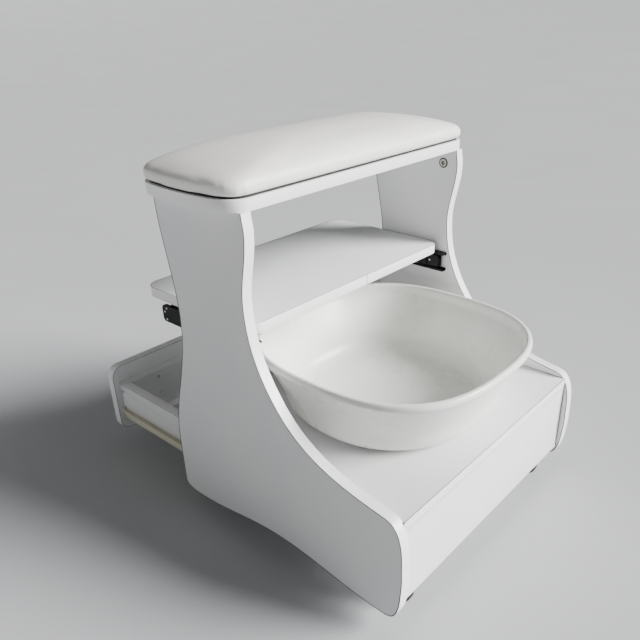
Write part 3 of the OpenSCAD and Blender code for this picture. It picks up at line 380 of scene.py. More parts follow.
def whole_faces(mesh, degrees):
    """A mesh opened for editing, in which a flat stretch is one face."""
    work = merged(mesh)
    bmesh.ops.dissolve_limit(work, angle_limit=math.radians(degrees), verts=work.verts,
                             edges=work.edges, delimit={"NORMAL"})
    return work


def apply_modifiers(piece):
    """The piece keeps what its modifiers make, as a plain mesh."""
    bpy.context.view_layer.update()
    evaluated = piece.evaluated_get(bpy.context.evaluated_depsgraph_get())
    mesh = bpy.data.meshes.new_from_object(evaluated)
    piece.modifiers.clear()
    piece.data = mesh


def smooth_by_angle(mesh, degrees=30):
    """Edges sharper than the angle stay sharp."""
    for face in mesh.polygons:
        face.use_smooth = True
    work = bmesh.new()
    work.from_mesh(mesh)
    for edge in work.edges:
        edge.smooth = len(edge.link_faces) == 2 and edge.calc_face_angle(0) < math.radians(degrees)
    work.to_mesh(mesh)
    work.free()


# %% Board helpers
BROKEN_EDGE = 0.0005
BEVEL_ABOVE_DEGREES = 50


def copy_of(node):
    """A merged copy of a CAD solid, as a new piece at the same place."""
    mesh = frame["nodes"][node].data.copy()
    work = whole_faces(mesh, 0.5)
    work.to_mesh(mesh)
    work.free()
    mesh.materials.clear()
    piece = bpy.data.objects.new(node + "_dressed", mesh)
    scene.collection.objects.link(piece)
    return piece


def stand_for(piece, node):
    """The piece rides with its CAD solid and shows in its place."""
    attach(piece, frame["nodes"][node]["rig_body"])
    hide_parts(node)


def dress_board(node, banded):
    """banded(normal) says which faces carry edge band."""
    piece = copy_of(node)
    bevel = piece.modifiers.new("broken_edge", "BEVEL")
    bevel.width = BROKEN_EDGE
    bevel.segments = 2
    bevel.limit_method = "ANGLE"
    bevel.angle_limit = math.radians(BEVEL_ABOVE_DEGREES)
    apply_modifiers(piece)
    piece.data.materials.append(melamine)
    piece.data.materials.append(edge_band)
    for face in piece.data.polygons:
        face.material_index = 1 if banded(face.normal) else 0
    smooth_by_angle(piece.data, 25)
    stand_for(piece, node)


# %% Boards
X, Y, Z = range(3)
LOOKS_THAT_WAY = 0.6


def facing(axis, sign):
    """The faces that look one way along an axis."""
    return lambda normal: sign * normal[axis] > LOOKS_THAT_WAY


def edges_round(axis):
    """All faces but the two flat ones, which look along an axis."""
    return lambda normal: abs(normal[axis]) < LOOKS_THAT_WAY


banded_faces = {
    "top_board": edges_round(Z), "sliding_shelf": edges_round(Z), "drawer_face": edges_round(Y),
    "platform_board": facing(Y, -1), "front_apron": facing(Z, -1), "back_panel": facing(Z, 1),
    "drawer_side_left": facing(Z, 1), "drawer_side_right": facing(Z, 1),
    "drawer_front_wall": facing(Z, 1), "drawer_back_wall": facing(Z, 1),
    "drawer_divider": facing(Z, 1),
}
for side in ("left", "right"):
    band = copy_of("edge_band_" + side)
    band.data.materials.append(edge_band)
    smooth_by_angle(band.data)
    stand_for(band, "edge_band_" + side)
for node, banded in banded_faces.items():
    dress_board(node, banded)
print("boards", len(banded_faces), "and two panel bands")

# %% [markdown]
# The other CAD solids already have their real shape, so they keep it and only take a finish.

# %% Finishes of the CAD solids
# A solid takes the finish of the first start that fits its name
finishes = {
    "side_panel": melamine, "base_board": melamine, "drawer_bottom": melamine,
    "cushion_base": black_board_and_gap_shade, "cam_locks": painted_gap_shade, "cam_bolts": zinc, "dowels": beech,
    "slide_screws": zinc, "slide_": black_coat, "shelf_bracket": black_coat, "ball_cage": zinc,
    "drawer_runner": cream_coat, "cabinet_runner": cream_coat, "runner_screws": zinc,
    "front_roller": nylon, "rear_roller": nylon, "caster_plates": black_coat,
    "caster_fork": black_coat, "caster_wheel": black_nylon,
}
finished = 0
for name, solid in frame["nodes"].items():
    start = next((key for key in finishes if name.startswith(key)), None)
    if start:
        solid.data.materials.clear()
        solid.data.materials.append(finishes[start])
        finished += 1
print("finished solids", finished)

# %% [markdown]
# ## Glue lines and painted shade
# Where an edge band meets a board's face, a thin line of glue shows, and where two boards butt,
# a narrow gap. The lines are dark, and wider than glue alone, as painted shade of the edges and
# painted shadow in the gaps. A texture would need each board unwrapped, so the lines are real:
# Geometry Nodes sweep a small round profile along paths, and the paths are plain edges read from
# the boards. One tree serves every board.


# %% Tree helper
def new_tree(name, inputs):
    """A Geometry Nodes tree with a geometry input, named number inputs and a material input."""
    tree = bpy.data.node_groups.new(name, "GeometryNodeTree")
    tree.interface.new_socket("Geometry", in_out="INPUT", socket_type="NodeSocketGeometry")
    for label, start in inputs.items():
        kind = "NodeSocketInt" if isinstance(start, int) else "NodeSocketFloat"
        socket = tree.interface.new_socket(label, in_out="INPUT", socket_type=kind)
        socket.default_value = start
    tree.interface.new_socket("Material", in_out="INPUT", socket_type="NodeSocketMaterial")
    tree.interface.new_socket("Geometry", in_out="OUTPUT", socket_type="NodeSocketGeometry")
    return tree, add(tree, "NodeGroupInput").outputs


def end_tree(tree, given, geometry):
    """Closes a tree: real geometry, with its material."""
    real = add(tree, "GeometryNodeRealizeInstances", {"Geometry": geometry})
    painted = add(tree, "GeometryNodeSetMaterial",
                  {"Geometry": real.outputs["Geometry"], "Material": given["Material"]})
    add(tree, "NodeGroupOutput", {"Geometry": painted.outputs["Geometry"]})


def grow(name, mesh, tree, material, **sizes):
    """Runs a tree on a mesh and keeps the result as a plain mesh."""
    piece = bpy.data.objects.new(name, mesh)
    scene.collection.objects.link(piece)
    run = piece.modifiers.new("grow", "NODES")
    run.node_group = tree
    for socket in tree.interface.items_tree:
        if socket.item_type != "SOCKET" or socket.in_out != "INPUT":
            continue
        key = socket.name.lower().replace(" ", "_")
        if key in sizes:
            run[socket.identifier] = sizes[key]
        if socket.name == "Material":
            run[socket.identifier] = material
    apply_modifiers(piece)
    return piece


# %% Line tree
line_tree, given = new_tree("glue_line_sweep", {"Line Radius": 0.00045, "Sides": 8})
path = add(line_tree, "GeometryNodeMeshToCurve", {"Mesh": given["Geometry"]})
section = add(line_tree, "GeometryNodeCurvePrimitiveCircle",
              {"Resolution": given["Sides"], "Radius": given["Line Radius"]})
swept = add(line_tree, "GeometryNodeCurveToMesh",
            {"Curve": path.outputs["Curve"], "Profile Curve": section.outputs["Curve"],
             "Fill Caps": True})
end_tree(line_tree, given, swept.outputs["Mesh"])

# %% Paths from the boards
LOOKS_ALONG = 0.999


def path_mesh(name, paths):
    """Paths are (points, closed)."""
    points, edges = [], []
    for run, closed in paths:
        first = len(points)
        points += [tuple(p) for p in run]
        edges += [(first + i, first + i + 1) for i in range(len(run) - 1)]
        if closed:
            edges.append((len(points) - 1, first))
    mesh = bpy.data.meshes.new(name)
    mesh.from_pydata(points, edges, [])
    return mesh


def face_outline(node, axis, side):
    """The corner points, in order, of a board's flat face at its low or high end of an axis."""
    work = whole_faces(frame["nodes"][node].data, 0.2)
    flat = [f for f in work.faces if side * f.normal[axis] > LOOKS_ALONG]
    face = max(flat, key=lambda f: (round(side * f.verts[0].co[axis], 5), f.calc_area()))
    points = [v.co.copy() for v in face.verts]
    work.free()
    return points


# %% Lines along the panels' bands
PANEL_SINK = 0.00052
LEVEL_WITH_TOP = 0.0005


def panel_lines(side):
    """The inner edge of a side panel's band, on both of the panel's faces. The band's outline is
    cut at the inner edge's two ends, and of the two ways between them the higher is kept."""
    node = "edge_band_" + side
    outline = face_outline(node, X, 1)
    highest = max(p.z for p in outline)
    ends = [i for i, p in enumerate(outline) if p.z > highest - LEVEL_WITH_TOP]
    a, b = sorted(sorted(ends, key=lambda i: outline[i].y)[1:3])
    ways = (outline[a : b + 1], outline[b:] + outline[: a + 1])
    run = max(ways, key=lambda way: min(p.z for p in way))
    low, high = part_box(node)
    return [([(x, p.y, p.z) for p in run], False)
            for x in (low.x + PANEL_SINK, high.x - PANEL_SINK)]


# %% Lines round the boards
BAND = 0.001
LINE_SINK = 0.0003
JOINT_SINK = 0.0002


def inset(points, centre, amount, axes):
    """Moves each point of a closed outline inwards, square to the line between its neighbours."""
    moved = []
    for i, p in enumerate(points):
        before, after = points[i - 1], points[(i + 1) % len(points)]
        along = Vector([(after - before)[a] for a in axes]).normalized()
        aside = Vector((-along[1], along[0]))
        towards = Vector([(centre - p)[a] for a in axes])
        if aside.dot(towards) < 0:
            aside = -aside
        q = p.copy()
        q[axes[0]] += aside[0] * amount
        q[axes[1]] += aside[1] * amount
        moved.append(q)
    return moved


def board_line(node, axis, outline_from, side):
    """A closed line of glue and painted shade, a band's thickness in from the edge of a board's
    face.
    Both faces have the same outline, so it can be read from the one without holes and laid on the
    other."""
    outline = face_outline(node, axis, outline_from)
    low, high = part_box(node)
    axes = [a for a in range(3) if a != axis]
    line = inset(outline, (low + high) / 2, BAND, axes)
    for p in line:
        p[axis] = (high if side > 0 else low)[axis] - LINE_SINK * side
    return line, True


def joint_lines(node, joints):
    """Dark lines of painted shadow, with dust, in the gaps where a board's corners butt against the
    side panels. Each end of a joint is given as shares of the board's depth and height."""
    sink = Vector((JOINT_SINK, JOINT_SINK, JOINT_SINK))
    low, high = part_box(node)
    low, high = low + sink, high - sink
    return [([(x, low.y + y * (high.y - low.y), low.z + z * (high.z - low.z)) for y, z in joint],
             False) for x in (low.x, high.x) for joint in joints]


# %% Glue and painted shade lines on the fixed boards
SEAM_SINK = 0.00034
low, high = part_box("platform_board")
edge_y, edge_z, seam_y = low.y + BAND, high.z - JOINT_SINK, low.y + SEAM_SINK
fixed_lines = [([(low.x, edge_y, edge_z), (high.x, edge_y, edge_z)], False),
               ([(low.x, seam_y, low.z), (high.x, seam_y, low.z)], False),
               board_line("top_board", Z, -1, -1)]
# Up the platform's front corners, back along its top, and up the apron's front corners
butt_joints = joint_lines("platform_board", [((0, 0), (0, 0.75)), ((0, 1), (1, 1))])
butt_joints += joint_lines("front_apron", [((0, 0), (0, 1))])
band_lines = panel_lines("left") + panel_lines("right")

# %% Glue and painted shade lines on the moving boards
SHELF_SEAM_X = 0.020
low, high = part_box("sliding_shelf")
seam_y = low.y + JOINT_SINK
shelf_lines = [board_line("sliding_shelf", Z, 1, 1), board_line("sliding_shelf", Z, 1, -1),
               ([(SHELF_SEAM_X, seam_y, low.z), (SHELF_SEAM_X, seam_y, high.z)], False)]
drawer_lines = [board_line("drawer_face", Y, 1, 1), board_line("drawer_face", Y, 1, -1)]
for node in ("drawer_side_left", "drawer_side_right"):
    low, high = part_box(node)
    z = high.z - BAND
    for x in (low.x + LINE_SINK, high.x - LINE_SINK):
        drawer_lines.append(([(x, low.y, z), (x, high.y, z)], False))

# %% Line pieces
JOINT_RADIUS, PANEL_RADIUS = 0.0006, 0.00095
FIXED_RADIUS, MOVING_RADIUS = 0.00045, 0.00055
# Each piece is dark glue lines or joints, drawn as painted shade of edges and painted shadow in
# gaps
for name, lines, body, radius in (
        ("joint_lines", butt_joints, "carcass", JOINT_RADIUS),
        ("glue_lines_panels", band_lines, "carcass", PANEL_RADIUS),
        ("glue_lines_carcass", fixed_lines, "carcass", FIXED_RADIUS),
        ("glue_lines_shelf", shelf_lines, "shelf", MOVING_RADIUS),
        ("glue_lines_drawer", drawer_lines, "drawer", MOVING_RADIUS)):
    piece = grow(name, path_mesh(name, lines), line_tree, glue_and_shade_line, line_radius=radius)
    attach(piece, body)
    print(name, len(piece.data.polygons), "faces")

# %% [markdown]
# ## Foot basin
# The basin is one moulded wall that follows a rule: the same profile goes all the way round, and
# every level is an oblong with soft corners, rounder at the foot and squarer at the rim. It could
# be lofted by hand, but the rule is shorter and stays editable. Geometry Nodes read the profile
# as a curve and set a grid's points from it: one direction of the grid runs along the profile,
# the other round.

# %% Basin tree
basin_tree, given = new_tree("basin_wall", {
    "Half Width": 0.2, "Round Height": 0.0365, "Wall Height": 0.105,
    "Foot Power": 2.2, "Rim Power": 2.69, "Foot Depth Ratio": 0.974, "Rim Depth Ratio": 1.0,
    "Steps Round": 160, "Steps Up": 260, "Closing Distance": 0.00002})
profile = add(basin_tree, "GeometryNodeMeshToCurve", {"Mesh": given["Geometry"]})
smooth = add(basin_tree, "GeometryNodeCurveSplineType",
             {"Curve": profile.outputs["Curve"]}, spline_type="CATMULL_ROM")
sheet = add(basin_tree, "GeometryNodeMeshGrid",
            {"Size X": 1.0, "Size Y": 1.0, "Vertices X": given["Steps Up"],
             "Vertices Y": given["Steps Round"]})
spot = add(basin_tree, "GeometryNodeInputPosition")
split = add(basin_tree, "ShaderNodeSeparateXYZ", {"Vector": spot.outputs["Position"]})
share = add(basin_tree, "ShaderNodeMath", {0: split.outputs["X"], 1: 0.5}, operation="ADD")
turn = add(basin_tree, "ShaderNodeMath", {0: split.outputs["Y"], 1: 2 * math.pi},
           operation="MULTIPLY")
level = add(basin_tree, "GeometryNodeSampleCurve",
            {"Curves": smooth.outputs["Curve"], "Factor": share.outputs["Value"]},
            mode="FACTOR", use_all_curves=True)
place = add(basin_tree, "ShaderNodeSeparateXYZ", {"Vector": level.outputs["Position"]})


# %% Basin levels
def by_height(low, high):
    """Goes from one value to another between the foot's round and the rim."""
    return add(basin_tree, "ShaderNodeMapRange",
               {"Value": place.outputs["Z"], "From Min": given["Round Height"],
                "From Max": given["Wall Height"], "To Min": given[low],
                "To Max": given[high]}).outputs["Result"]


bend = add(basin_tree, "ShaderNodeMath", {0: 2.0, 1: by_height("Foot Power", "Rim Power")},
           operation="DIVIDE")
radius = add(basin_tree, "ShaderNodeMath", {0: place.outputs["X"], 1: given["Half Width"]},
             operation="MULTIPLY")
depth_ratio = by_height("Foot Depth Ratio", "Rim Depth Ratio")
deep_radius = add(basin_tree, "ShaderNodeMath", {0: radius.outputs["Value"], 1: depth_ratio},
                  operation="MULTIPLY")


def oblong(kind, reach):
    """sign(wave) * |wave| ^ bend * reach, where the wave is a sine or a cosine of the turn."""
    wave = add(basin_tree, "ShaderNodeMath", {0: turn.outputs["Value"]}, operation=kind)
    size = add(basin_tree, "ShaderNodeMath", {0: wave.outputs["Value"]}, operation="ABSOLUTE")
    sign = add(basin_tree, "ShaderNodeMath", {0: wave.outputs["Value"]}, operation="SIGN")
    raised = add(basin_tree, "ShaderNodeMath",
                 {0: size.outputs["Value"], 1: bend.outputs["Value"]}, operation="POWER")
    signed = add(basin_tree, "ShaderNodeMath",
                 {0: raised.outputs["Value"], 1: sign.outputs["Value"]}, operation="MULTIPLY")
    return add(basin_tree, "ShaderNodeMath",
               {0: signed.outputs["Value"], 1: reach.outputs["Value"]},
               operation="MULTIPLY").outputs["Value"]


there = add(basin_tree, "ShaderNodeCombineXYZ",
            {"X": oblong("COSINE", radius), "Y": oblong("SINE", deep_radius),
             "Z": place.outputs["Z"]})
placed = add(basin_tree, "GeometryNodeSetPosition",
             {"Geometry": sheet.outputs["Mesh"], "Position": there.outputs["Vector"]})
closed = add(basin_tree, "GeometryNodeMergeByDistance",
             {"Geometry": placed.outputs["Geometry"], "Distance": given["Closing Distance"]})
end_tree(basin_tree, given, closed.outputs["Geometry"])

# %% [markdown]
# The profile is drawn as a share of the half width: under the foot, round the lower corner, up the
# flared wall, over the rolled rim and down the inside to the middle of the floor.

# %% Basin profile
basin_low, basin_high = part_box("basin")
basin_mid = (basin_low + basin_high) / 2
half_wide, half_deep = (basin_high.x - basin_low.x) / 2, (basin_high.y - basin_low.y) / 2
tall = basin_high.z - basin_low.z
FOOT, ROUND, THICK = 0.1375, 0.0365, 0.0028
FLOOR_STOPS = (0.0, 0.06, 0.118)
FLARE = 1.3
RIM_HEIGHT, RIM_REACH = 0.012, 0.0073
WALL_TOP, WALL = tall - RIM_HEIGHT, half_wide - RIM_REACH
INSIDE_TOP = 0.94
WALL_STEPS = 12
# Millimetres from the half width and from the height
RIM = ((-5.4, -12.1), (-2.7, -12.2), (-0.9, -11.2), (-0.1, -8.8), (-0.3, -5.6), (-1.2, -2.8),
       (-2.8, -0.9), (-4.9, -0.1), (-7.0, -0.2), (-8.8, -1.0), (-9.9, -2.8), (-10.3, -5.2),
       (-10.3, -8.5))


def round_at(degrees, inward=0.0):
    """A point of the round between floor and wall, from under the foot upwards."""
    angle = math.radians(degrees)
    r = ROUND - inward
    return FOOT + r * math.sin(angle), ROUND - r * math.cos(angle)


def wall_at(share, inward=0.0):
    """A point of the flared wall, from the round to the rim."""
    start = FOOT + ROUND
    return start + (WALL - start) * share**FLARE - inward, ROUND + share * (WALL_TOP - ROUND)


def profile_points():
    """The whole profile, from the middle of the foot to the middle of the floor."""
    outside = [(x, 0.0) for x in FLOOR_STOPS]
    outside += [round_at(angle) for angle in range(0, 90, 10)]
    outside += [wall_at(share) for share in np.linspace(0, 1, WALL_STEPS)]
    rim = [(half_wide + x / 1000, tall + z / 1000) for x, z in RIM]
    inside = [wall_at(share, THICK) for share in np.linspace(INSIDE_TOP, 0, WALL_STEPS)]
    inside += [round_at(angle, THICK) for angle in range(80, -1, -10)]
    inside += [(x, THICK) for x in reversed(FLOOR_STOPS)]
    return [(x / half_wide, 0, z) for x, z in outside + rim + inside]


# %% Basin
def outward(mesh, degrees=60):
    """Merges, turns every face outwards and smooths. Returns open edges and cubic metres."""
    work = merged(mesh)
    bmesh.ops.recalc_face_normals(work, faces=work.faces)
    open_edges = sum(len(e.link_faces) != 2 for e in work.edges)
    volume = work.calc_volume(signed=True)
    if volume < 0:
        bmesh.ops.reverse_faces(work, faces=work.faces)
    work.to_mesh(mesh)
    work.free()
    smooth_by_angle(mesh, degrees)
    return open_edges, abs(volume)


basin = grow("foot_basin", path_mesh("foot_basin", [(profile_points(), False)]), basin_tree,
             polypropylene, half_width=half_wide, round_height=ROUND, wall_height=WALL_TOP,
             rim_depth_ratio=half_deep / half_wide)
basin.data.transform(Matrix.Translation((basin_mid.x, basin_mid.y, basin_low.z)))
open_edges, volume = outward(basin.data)
print("basin open edges", open_edges, "cubic centimetres of plastic", round(volume * 1e6))
stand_for(basin, "basin")

# %% [markdown]
# ## Screws
# Every screw is a shank and a domed head with a cross recess. There are dozens, so one head and
# one shank are modelled, and Geometry Nodes set them on points, turned along each point's own
# axis and sized by attributes on it.

# %% Screw tree
screw_tree, given = new_tree("cross_head_screws", {
    "Slot Width": 0.3, "Slot Length": 1.15, "Slot Depth": 0.55, "Slot Level": 0.9})
ball = add(screw_tree, "GeometryNodeMeshUVSphere", {"Segments": 24, "Rings": 12, "Radius": 1.0})
cross = add(screw_tree, "GeometryNodeMeshBoolean", {"Mesh 1": ball.outputs["Mesh"]},
            operation="DIFFERENCE", solver="EXACT")
up = add(screw_tree, "ShaderNodeCombineXYZ", {"Z": given["Slot Level"]})
for along, across in (("Slot Length", "Slot Width"), ("Slot Width", "Slot Length")):
    size = add(screw_tree, "ShaderNodeCombineXYZ",
               {"X": given[along], "Y": given[across], "Z": given["Slot Depth"]})
    bar = add(screw_tree, "GeometryNodeMeshCube", {"Size": size.outputs["Vector"]})
    lifted = add(screw_tree, "GeometryNodeTransform",
                 {"Geometry": bar.outputs["Mesh"], "Translation": up.outputs["Vector"]})
    screw_tree.links.new(lifted.outputs["Geometry"], cross.inputs["Mesh 2"])
shank = add(screw_tree, "GeometryNodeMeshCylinder", {"Vertices": 16, "Radius": 1.0, "Depth": 1.0})
sunk = add(screw_tree, "GeometryNodeTransform",
           {"Geometry": shank.outputs["Mesh"], "Translation": (0, 0, -0.5)})


def turn_of_axis(tree):
    """The turn that points an instance along its point's own axis."""
    axis = add(tree, "GeometryNodeInputNamedAttribute", {"Name": "axis"},
               data_type="FLOAT_VECTOR")
    return add(tree, "FunctionNodeAlignRotationToVector", {"Vector": axis.outputs["Attribute"]},
               axis="Z").outputs["Rotation"]


rotation = turn_of_axis(screw_tree)
joined = add(screw_tree, "GeometryNodeJoinGeometry")
for shape, label in ((cross.outputs["Mesh"], "head_size"),
                     (sunk.outputs["Geometry"], "shank_size")):
    size = add(screw_tree, "GeometryNodeInputNamedAttribute", {"Name": label},
               data_type="FLOAT_VECTOR")
    set_on = add(screw_tree, "GeometryNodeInstanceOnPoints",
                 {"Points": given["Geometry"], "Instance": shape, "Rotation": rotation,
                  "Scale": size.outputs["Attribute"]})
    screw_tree.links.new(set_on.outputs["Instances"], joined.inputs["Geometry"])
end_tree(screw_tree, given, joined.outputs["Geometry"])


# %% Points for the trees
def point_mesh(name, points, **fields):
    """Bare points, and for each one its own vectors under the names that a tree reads."""
    mesh = bpy.data.meshes.new(name)
    mesh.from_pydata(points, [], [])
    for label, vectors in fields.items():
        field = mesh.attributes.new(label, "FLOAT_VECTOR", "POINT")
        field.data.foreach_set("vector", [c for vector in vectors for c in vector])
    return mesh


def loose_solids(node):
    """The low corner and high corner of each separate solid of a CAD node."""
    work = merged(frame["nodes"][node].data)
    seen, found = set(), []
    for first in work.verts:
        if first in seen:
            continue
        seen.add(first)
        stack, island = [first], []
        while stack:
            v = stack.pop()
            island.append(v.co.copy())
            for edge in v.link_edges:
                other = edge.other_vert(v)
                if other not in seen:
                    seen.add(other)
                    stack.append(other)
        found.append((Vector(map(min, zip(*island))), Vector(map(max, zip(*island)))))
    work.free()
    return found


# %% Screw dresser
STEEPEST_DOME = 0.55
SHANK_SHARE = 0.52


def screws_of(node, head_end, dome):
    """head_end(low, high) gives the way that a screw's head faces. The screw takes its place,
    length and width from its CAD solid."""
    seats, axes, heads, shanks = [], [], [], []
    for low, high in loose_solids(node):
        axis = Vector(head_end(low, high))
        k = max(range(3), key=lambda i: abs(axis[i]))
        mid, size = (low + high) / 2, high - low
        wide = max(size[i] for i in range(3) if i != k) / 2
        thick = min(dome, wide * STEEPEST_DOME)
        seats.append(mid + axis * size[k] / 2 - axis * thick)
        axes.append(axis)
        heads.append((wide, wide, thick))
        shanks.append((wide * SHANK_SHARE, wide * SHANK_SHARE, size[k] - thick))
    mesh = point_mesh(node, seats, axis=axes, head_size=heads, shank_size=shanks)
    piece = grow(node + "_dressed", mesh, screw_tree, zinc)
    outward(piece.data, 40)
    stand_for(piece, node)
    print(node, len(seats))


# %% Screws
def heads_below(low, high):
    return 0, 0, -1


def towards_middle(low, high):
    return (-1, 0, 0) if low.x > 0 else (1, 0, 0)


def drawer_heads(low, high):
    """In through the sides from outside, through the front wall from inside, or from below."""
    long_axis = max((X, Y, Z), key=lambda i: (high - low)[i])
    if long_axis == X:
        return (1, 0, 0) if low.x > 0 else (-1, 0, 0)
    return (0, -1, 0) if long_axis == Y else (0, 0, -1)


def bracket_heads(low, high):
    """Up into the shelf, or sideways into a slide."""
    upright = (high - low).z > (high - low).x
    return (0, 0, -1) if upright else towards_middle(low, high)


screws_of("cushion_screws", heads_below, dome=0.0022)
screws_of("caster_screws", heads_below, dome=0.0018)
screws_of("drawer_screws", drawer_heads, dome=0.0018)
screws_of("bracket_screws", bracket_heads, dome=0.0018)

# %% [markdown]
# ## Cam faces
# The cam locks that pull the boards together show as small rings: a grey cast ring with painted
# shadow round it, and a recess with a cross for the driver, dark with painted shade. Every lock has
# the same face, so the screws' way is used again: one ring, set on every lock's point.

# %% Cam tree
cam_tree, given = new_tree("cam_faces", {
    "Ring Radius": 0.0066, "Recess Radius": 0.0036, "Ring Height": 0.0009,
    "Recess Height": 0.003, "Cross Length": 0.0062, "Cross Width": 0.0009,
    "Cross Height": 0.0008, "Cross Level": -0.0012})
ring_out = add(cam_tree, "GeometryNodeMeshCylinder",
               {"Vertices": 48, "Radius": given["Ring Radius"], "Depth": given["Ring Height"]})
ring_in = add(cam_tree, "GeometryNodeMeshCylinder",
              {"Vertices": 48, "Radius": given["Recess Radius"],
               "Depth": given["Recess Height"]})
ring = add(cam_tree, "GeometryNodeMeshBoolean", {"Mesh 1": ring_out.outputs["Mesh"]},
           operation="DIFFERENCE", solver="EXACT")
cam_tree.links.new(ring_in.outputs["Mesh"], ring.inputs["Mesh 2"])
face = add(cam_tree, "GeometryNodeJoinGeometry", {"Geometry": ring.outputs["Mesh"]})
bar_size = add(cam_tree, "ShaderNodeCombineXYZ",
               {"X": given["Cross Length"], "Y": given["Cross Width"],
                "Z": given["Cross Height"]})
bar_place = add(cam_tree, "ShaderNodeCombineXYZ", {"Z": given["Cross Level"]})
for degrees in (45, 135):
    bar = add(cam_tree, "GeometryNodeMeshCube", {"Size": bar_size.outputs["Vector"]})
    turned = add(cam_tree, "GeometryNodeTransform",
                 {"Geometry": bar.outputs["Mesh"], "Translation": bar_place.outputs["Vector"],
                  "Rotation": (0, 0, math.radians(degrees))})
    cam_tree.links.new(turned.outputs["Geometry"], face.inputs["Geometry"])
rings = add(cam_tree, "GeometryNodeInstanceOnPoints",
            {"Points": given["Geometry"], "Instance": face.outputs["Geometry"],
             "Rotation": turn_of_axis(cam_tree)})
end_tree(cam_tree, given, rings.outputs["Instances"])

# %% Cam faces
RING_OUT = 0.00035


def cam_points():
    """The place and the axis of each lock's open face. A lock's axis is its thin one, and its
    face looks to the middle, to the back or down."""
    points, axes = [], []
    for low, high in loose_solids("cam_locks"):
        mid, size = (low + high) / 2, high - low
        k = min(range(3), key=lambda i: size[i])
        axis = Vector((towards_middle(low, high), (0, 1, 0), (0, 0, -1))[k])
        points.append(mid + axis * (size[k] / 2 + RING_OUT))
        axes.append(axis)
    return points, axes


points, axes = cam_points()
cams = grow("cam_faces", point_mesh("cam_faces", points, axis=axes), cam_tree, die_cast)
outward(cams.data, 35)
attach(cams, "carcass")
print("cam faces", len(points))

# %% [markdown]
# ## Slide rivets
# Small bright rivets hold the stops near both ends of each slide, on the inner members' inner
# faces and on the middle members' webs. One tree sets a flat dome on every point.

# %% Rivet tree
rivet_tree, given = new_tree("slide_rivets", {"Rivet Radius": 0.0019, "Rivet Height": 0.0009})
dome = add(rivet_tree, "GeometryNodeMeshUVSphere", {"Segments": 20, "Rings": 10, "Radius": 1.0})
dome_size = add(rivet_tree, "ShaderNodeCombineXYZ",
                {"X": given["Rivet Height"], "Y": given["Rivet Radius"],
                 "Z": given["Rivet Radius"]})
domes = add(rivet_tree, "GeometryNodeInstanceOnPoints",
            {"Points": given["Geometry"], "Instance": dome.outputs["Mesh"],
             "Scale": dome_size.outputs["Vector"]})
end_tree(rivet_tree, given, domes.outputs["Instances"])

# %% Slide rivets
# Millimetres from the rear end and from mid height
INNER_REAR = ((9, -6), (9, 6))
MIDDLE_REAR = ((12, 9.5), (6.5, 3), (10, -9.5))
INNER_FRONT = 0.021


def rear_points(node, x, places):
    """Rivets near a slide member's rear end."""
    low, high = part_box(node)
    z = (low.z + high.z) / 2
    return [(x, high.y - back / 1000, z + up / 1000) for back, up in places]


def set_rivets(name, points, body):
    """One piece of rivets, for the members of one body."""
    piece = grow(name, path_mesh(name, [([p], False) for p in points]), rivet_tree, zinc)
    outward(piece.data)
    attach(piece, body)
    print(name, len(points))


inner_points = []
for side in ("left", "right"):
    node = "slide_inner_" + side
    low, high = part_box(node)
    x = high.x if side == "left" else low.x
    inner_points.append((x, low.y + INNER_FRONT, (low.z + high.z) / 2))
    inner_points += rear_points(node, x, INNER_REAR)
    node = "slide_middle_" + side
    low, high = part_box(node)
    x = low.x if side == "left" else high.x
    set_rivets("slide_rivets_" + side, rear_points(node, x, MIDDLE_REAR),
               frame["nodes"][node]["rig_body"])
set_rivets("slide_rivets_inner", inner_points, "shelf")

# %% [markdown]
# ## Footrest cushion
# The cover is leatherette pulled over foam on a black board, whose black is partly painted shadow
# of the gap under the cover. Its side stands nearly upright, then turns over a soft shoulder into
# the crown, and its lower edge is drawn in under the foam. A rounded box would look hard, so the
# form starts as rings of the plan outline, slightly small. A cloth simulation with air pressure
# then swells it as foam does, and each point may move only a few millimetres.

# %% Cushion plan
pad_low, pad_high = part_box("cushion_pad")
pad_mid = (pad_low + pad_high) / 2
bottom = pad_low.z
LONG, DEEP = (pad_high.x - pad_low.x) / 2, (pad_high.y - pad_low.y) / 2
BOW, CORNER = 0.012, 0.032
FRONT_POINTS, CORNER_POINTS, END_POINTS = 26, 14, 11
HANDLE = 0.55


def plan_outline(margin):
    """One quarter is built and mirrored: straight front, rounded corner, bowed end."""
    long, deep, corner = LONG - margin, DEEP - margin, CORNER - margin
    slope = 2 * BOW * (deep - corner) / deep**2
    end_x = long - BOW * ((deep - corner) / deep) ** 2
    along = Vector((slope, 1)).normalized()
    a, d = Vector((end_x - corner, -deep)), Vector((end_x, corner - deep))
    b, c = a + Vector((corner * HANDLE, 0)), d - along * corner * HANDLE
    quarter = [Vector((x, -deep)) for x in np.linspace(0, end_x - corner, FRONT_POINTS)[:-1]]
    for t in np.linspace(0, 1, CORNER_POINTS)[:-1]:
        s = 1 - t
        quarter.append(a * s**3 + b * 3 * s * s * t + c * 3 * s * t * t + d * t**3)
    quarter += [Vector((long - BOW * (y / deep) ** 2, y))
                for y in np.linspace(corner - deep, 0, END_POINTS)]
    half = quarter + [Vector((p.x, -p.y)) for p in quarter[-2:0:-1]]
    far = [Vector((0, deep))] + [Vector((-p.x, -p.y)) for p in half[1:]]
    return half + far


# %% Cushion rings
GROW = 0.003
SIDE, CROWN = 0.019, 0.030
CROWN_IN, CROWN_POWER = 0.001, 3.2
# Each ring of the side: how far it lies in, and its height
SIDE_RINGS = ((0.010, 0), (GROW + 0.0015, 0.001), (GROW + 0.0002, 0.0035), (GROW, 0.010),
              (GROW + 0.0004, SIDE - 0.001))
CROWN_SHARES = (0.992, 0.978, 0.955, 0.92, 0.87, 0.8, 0.7, 0.58, 0.44, 0.3, 0.16)


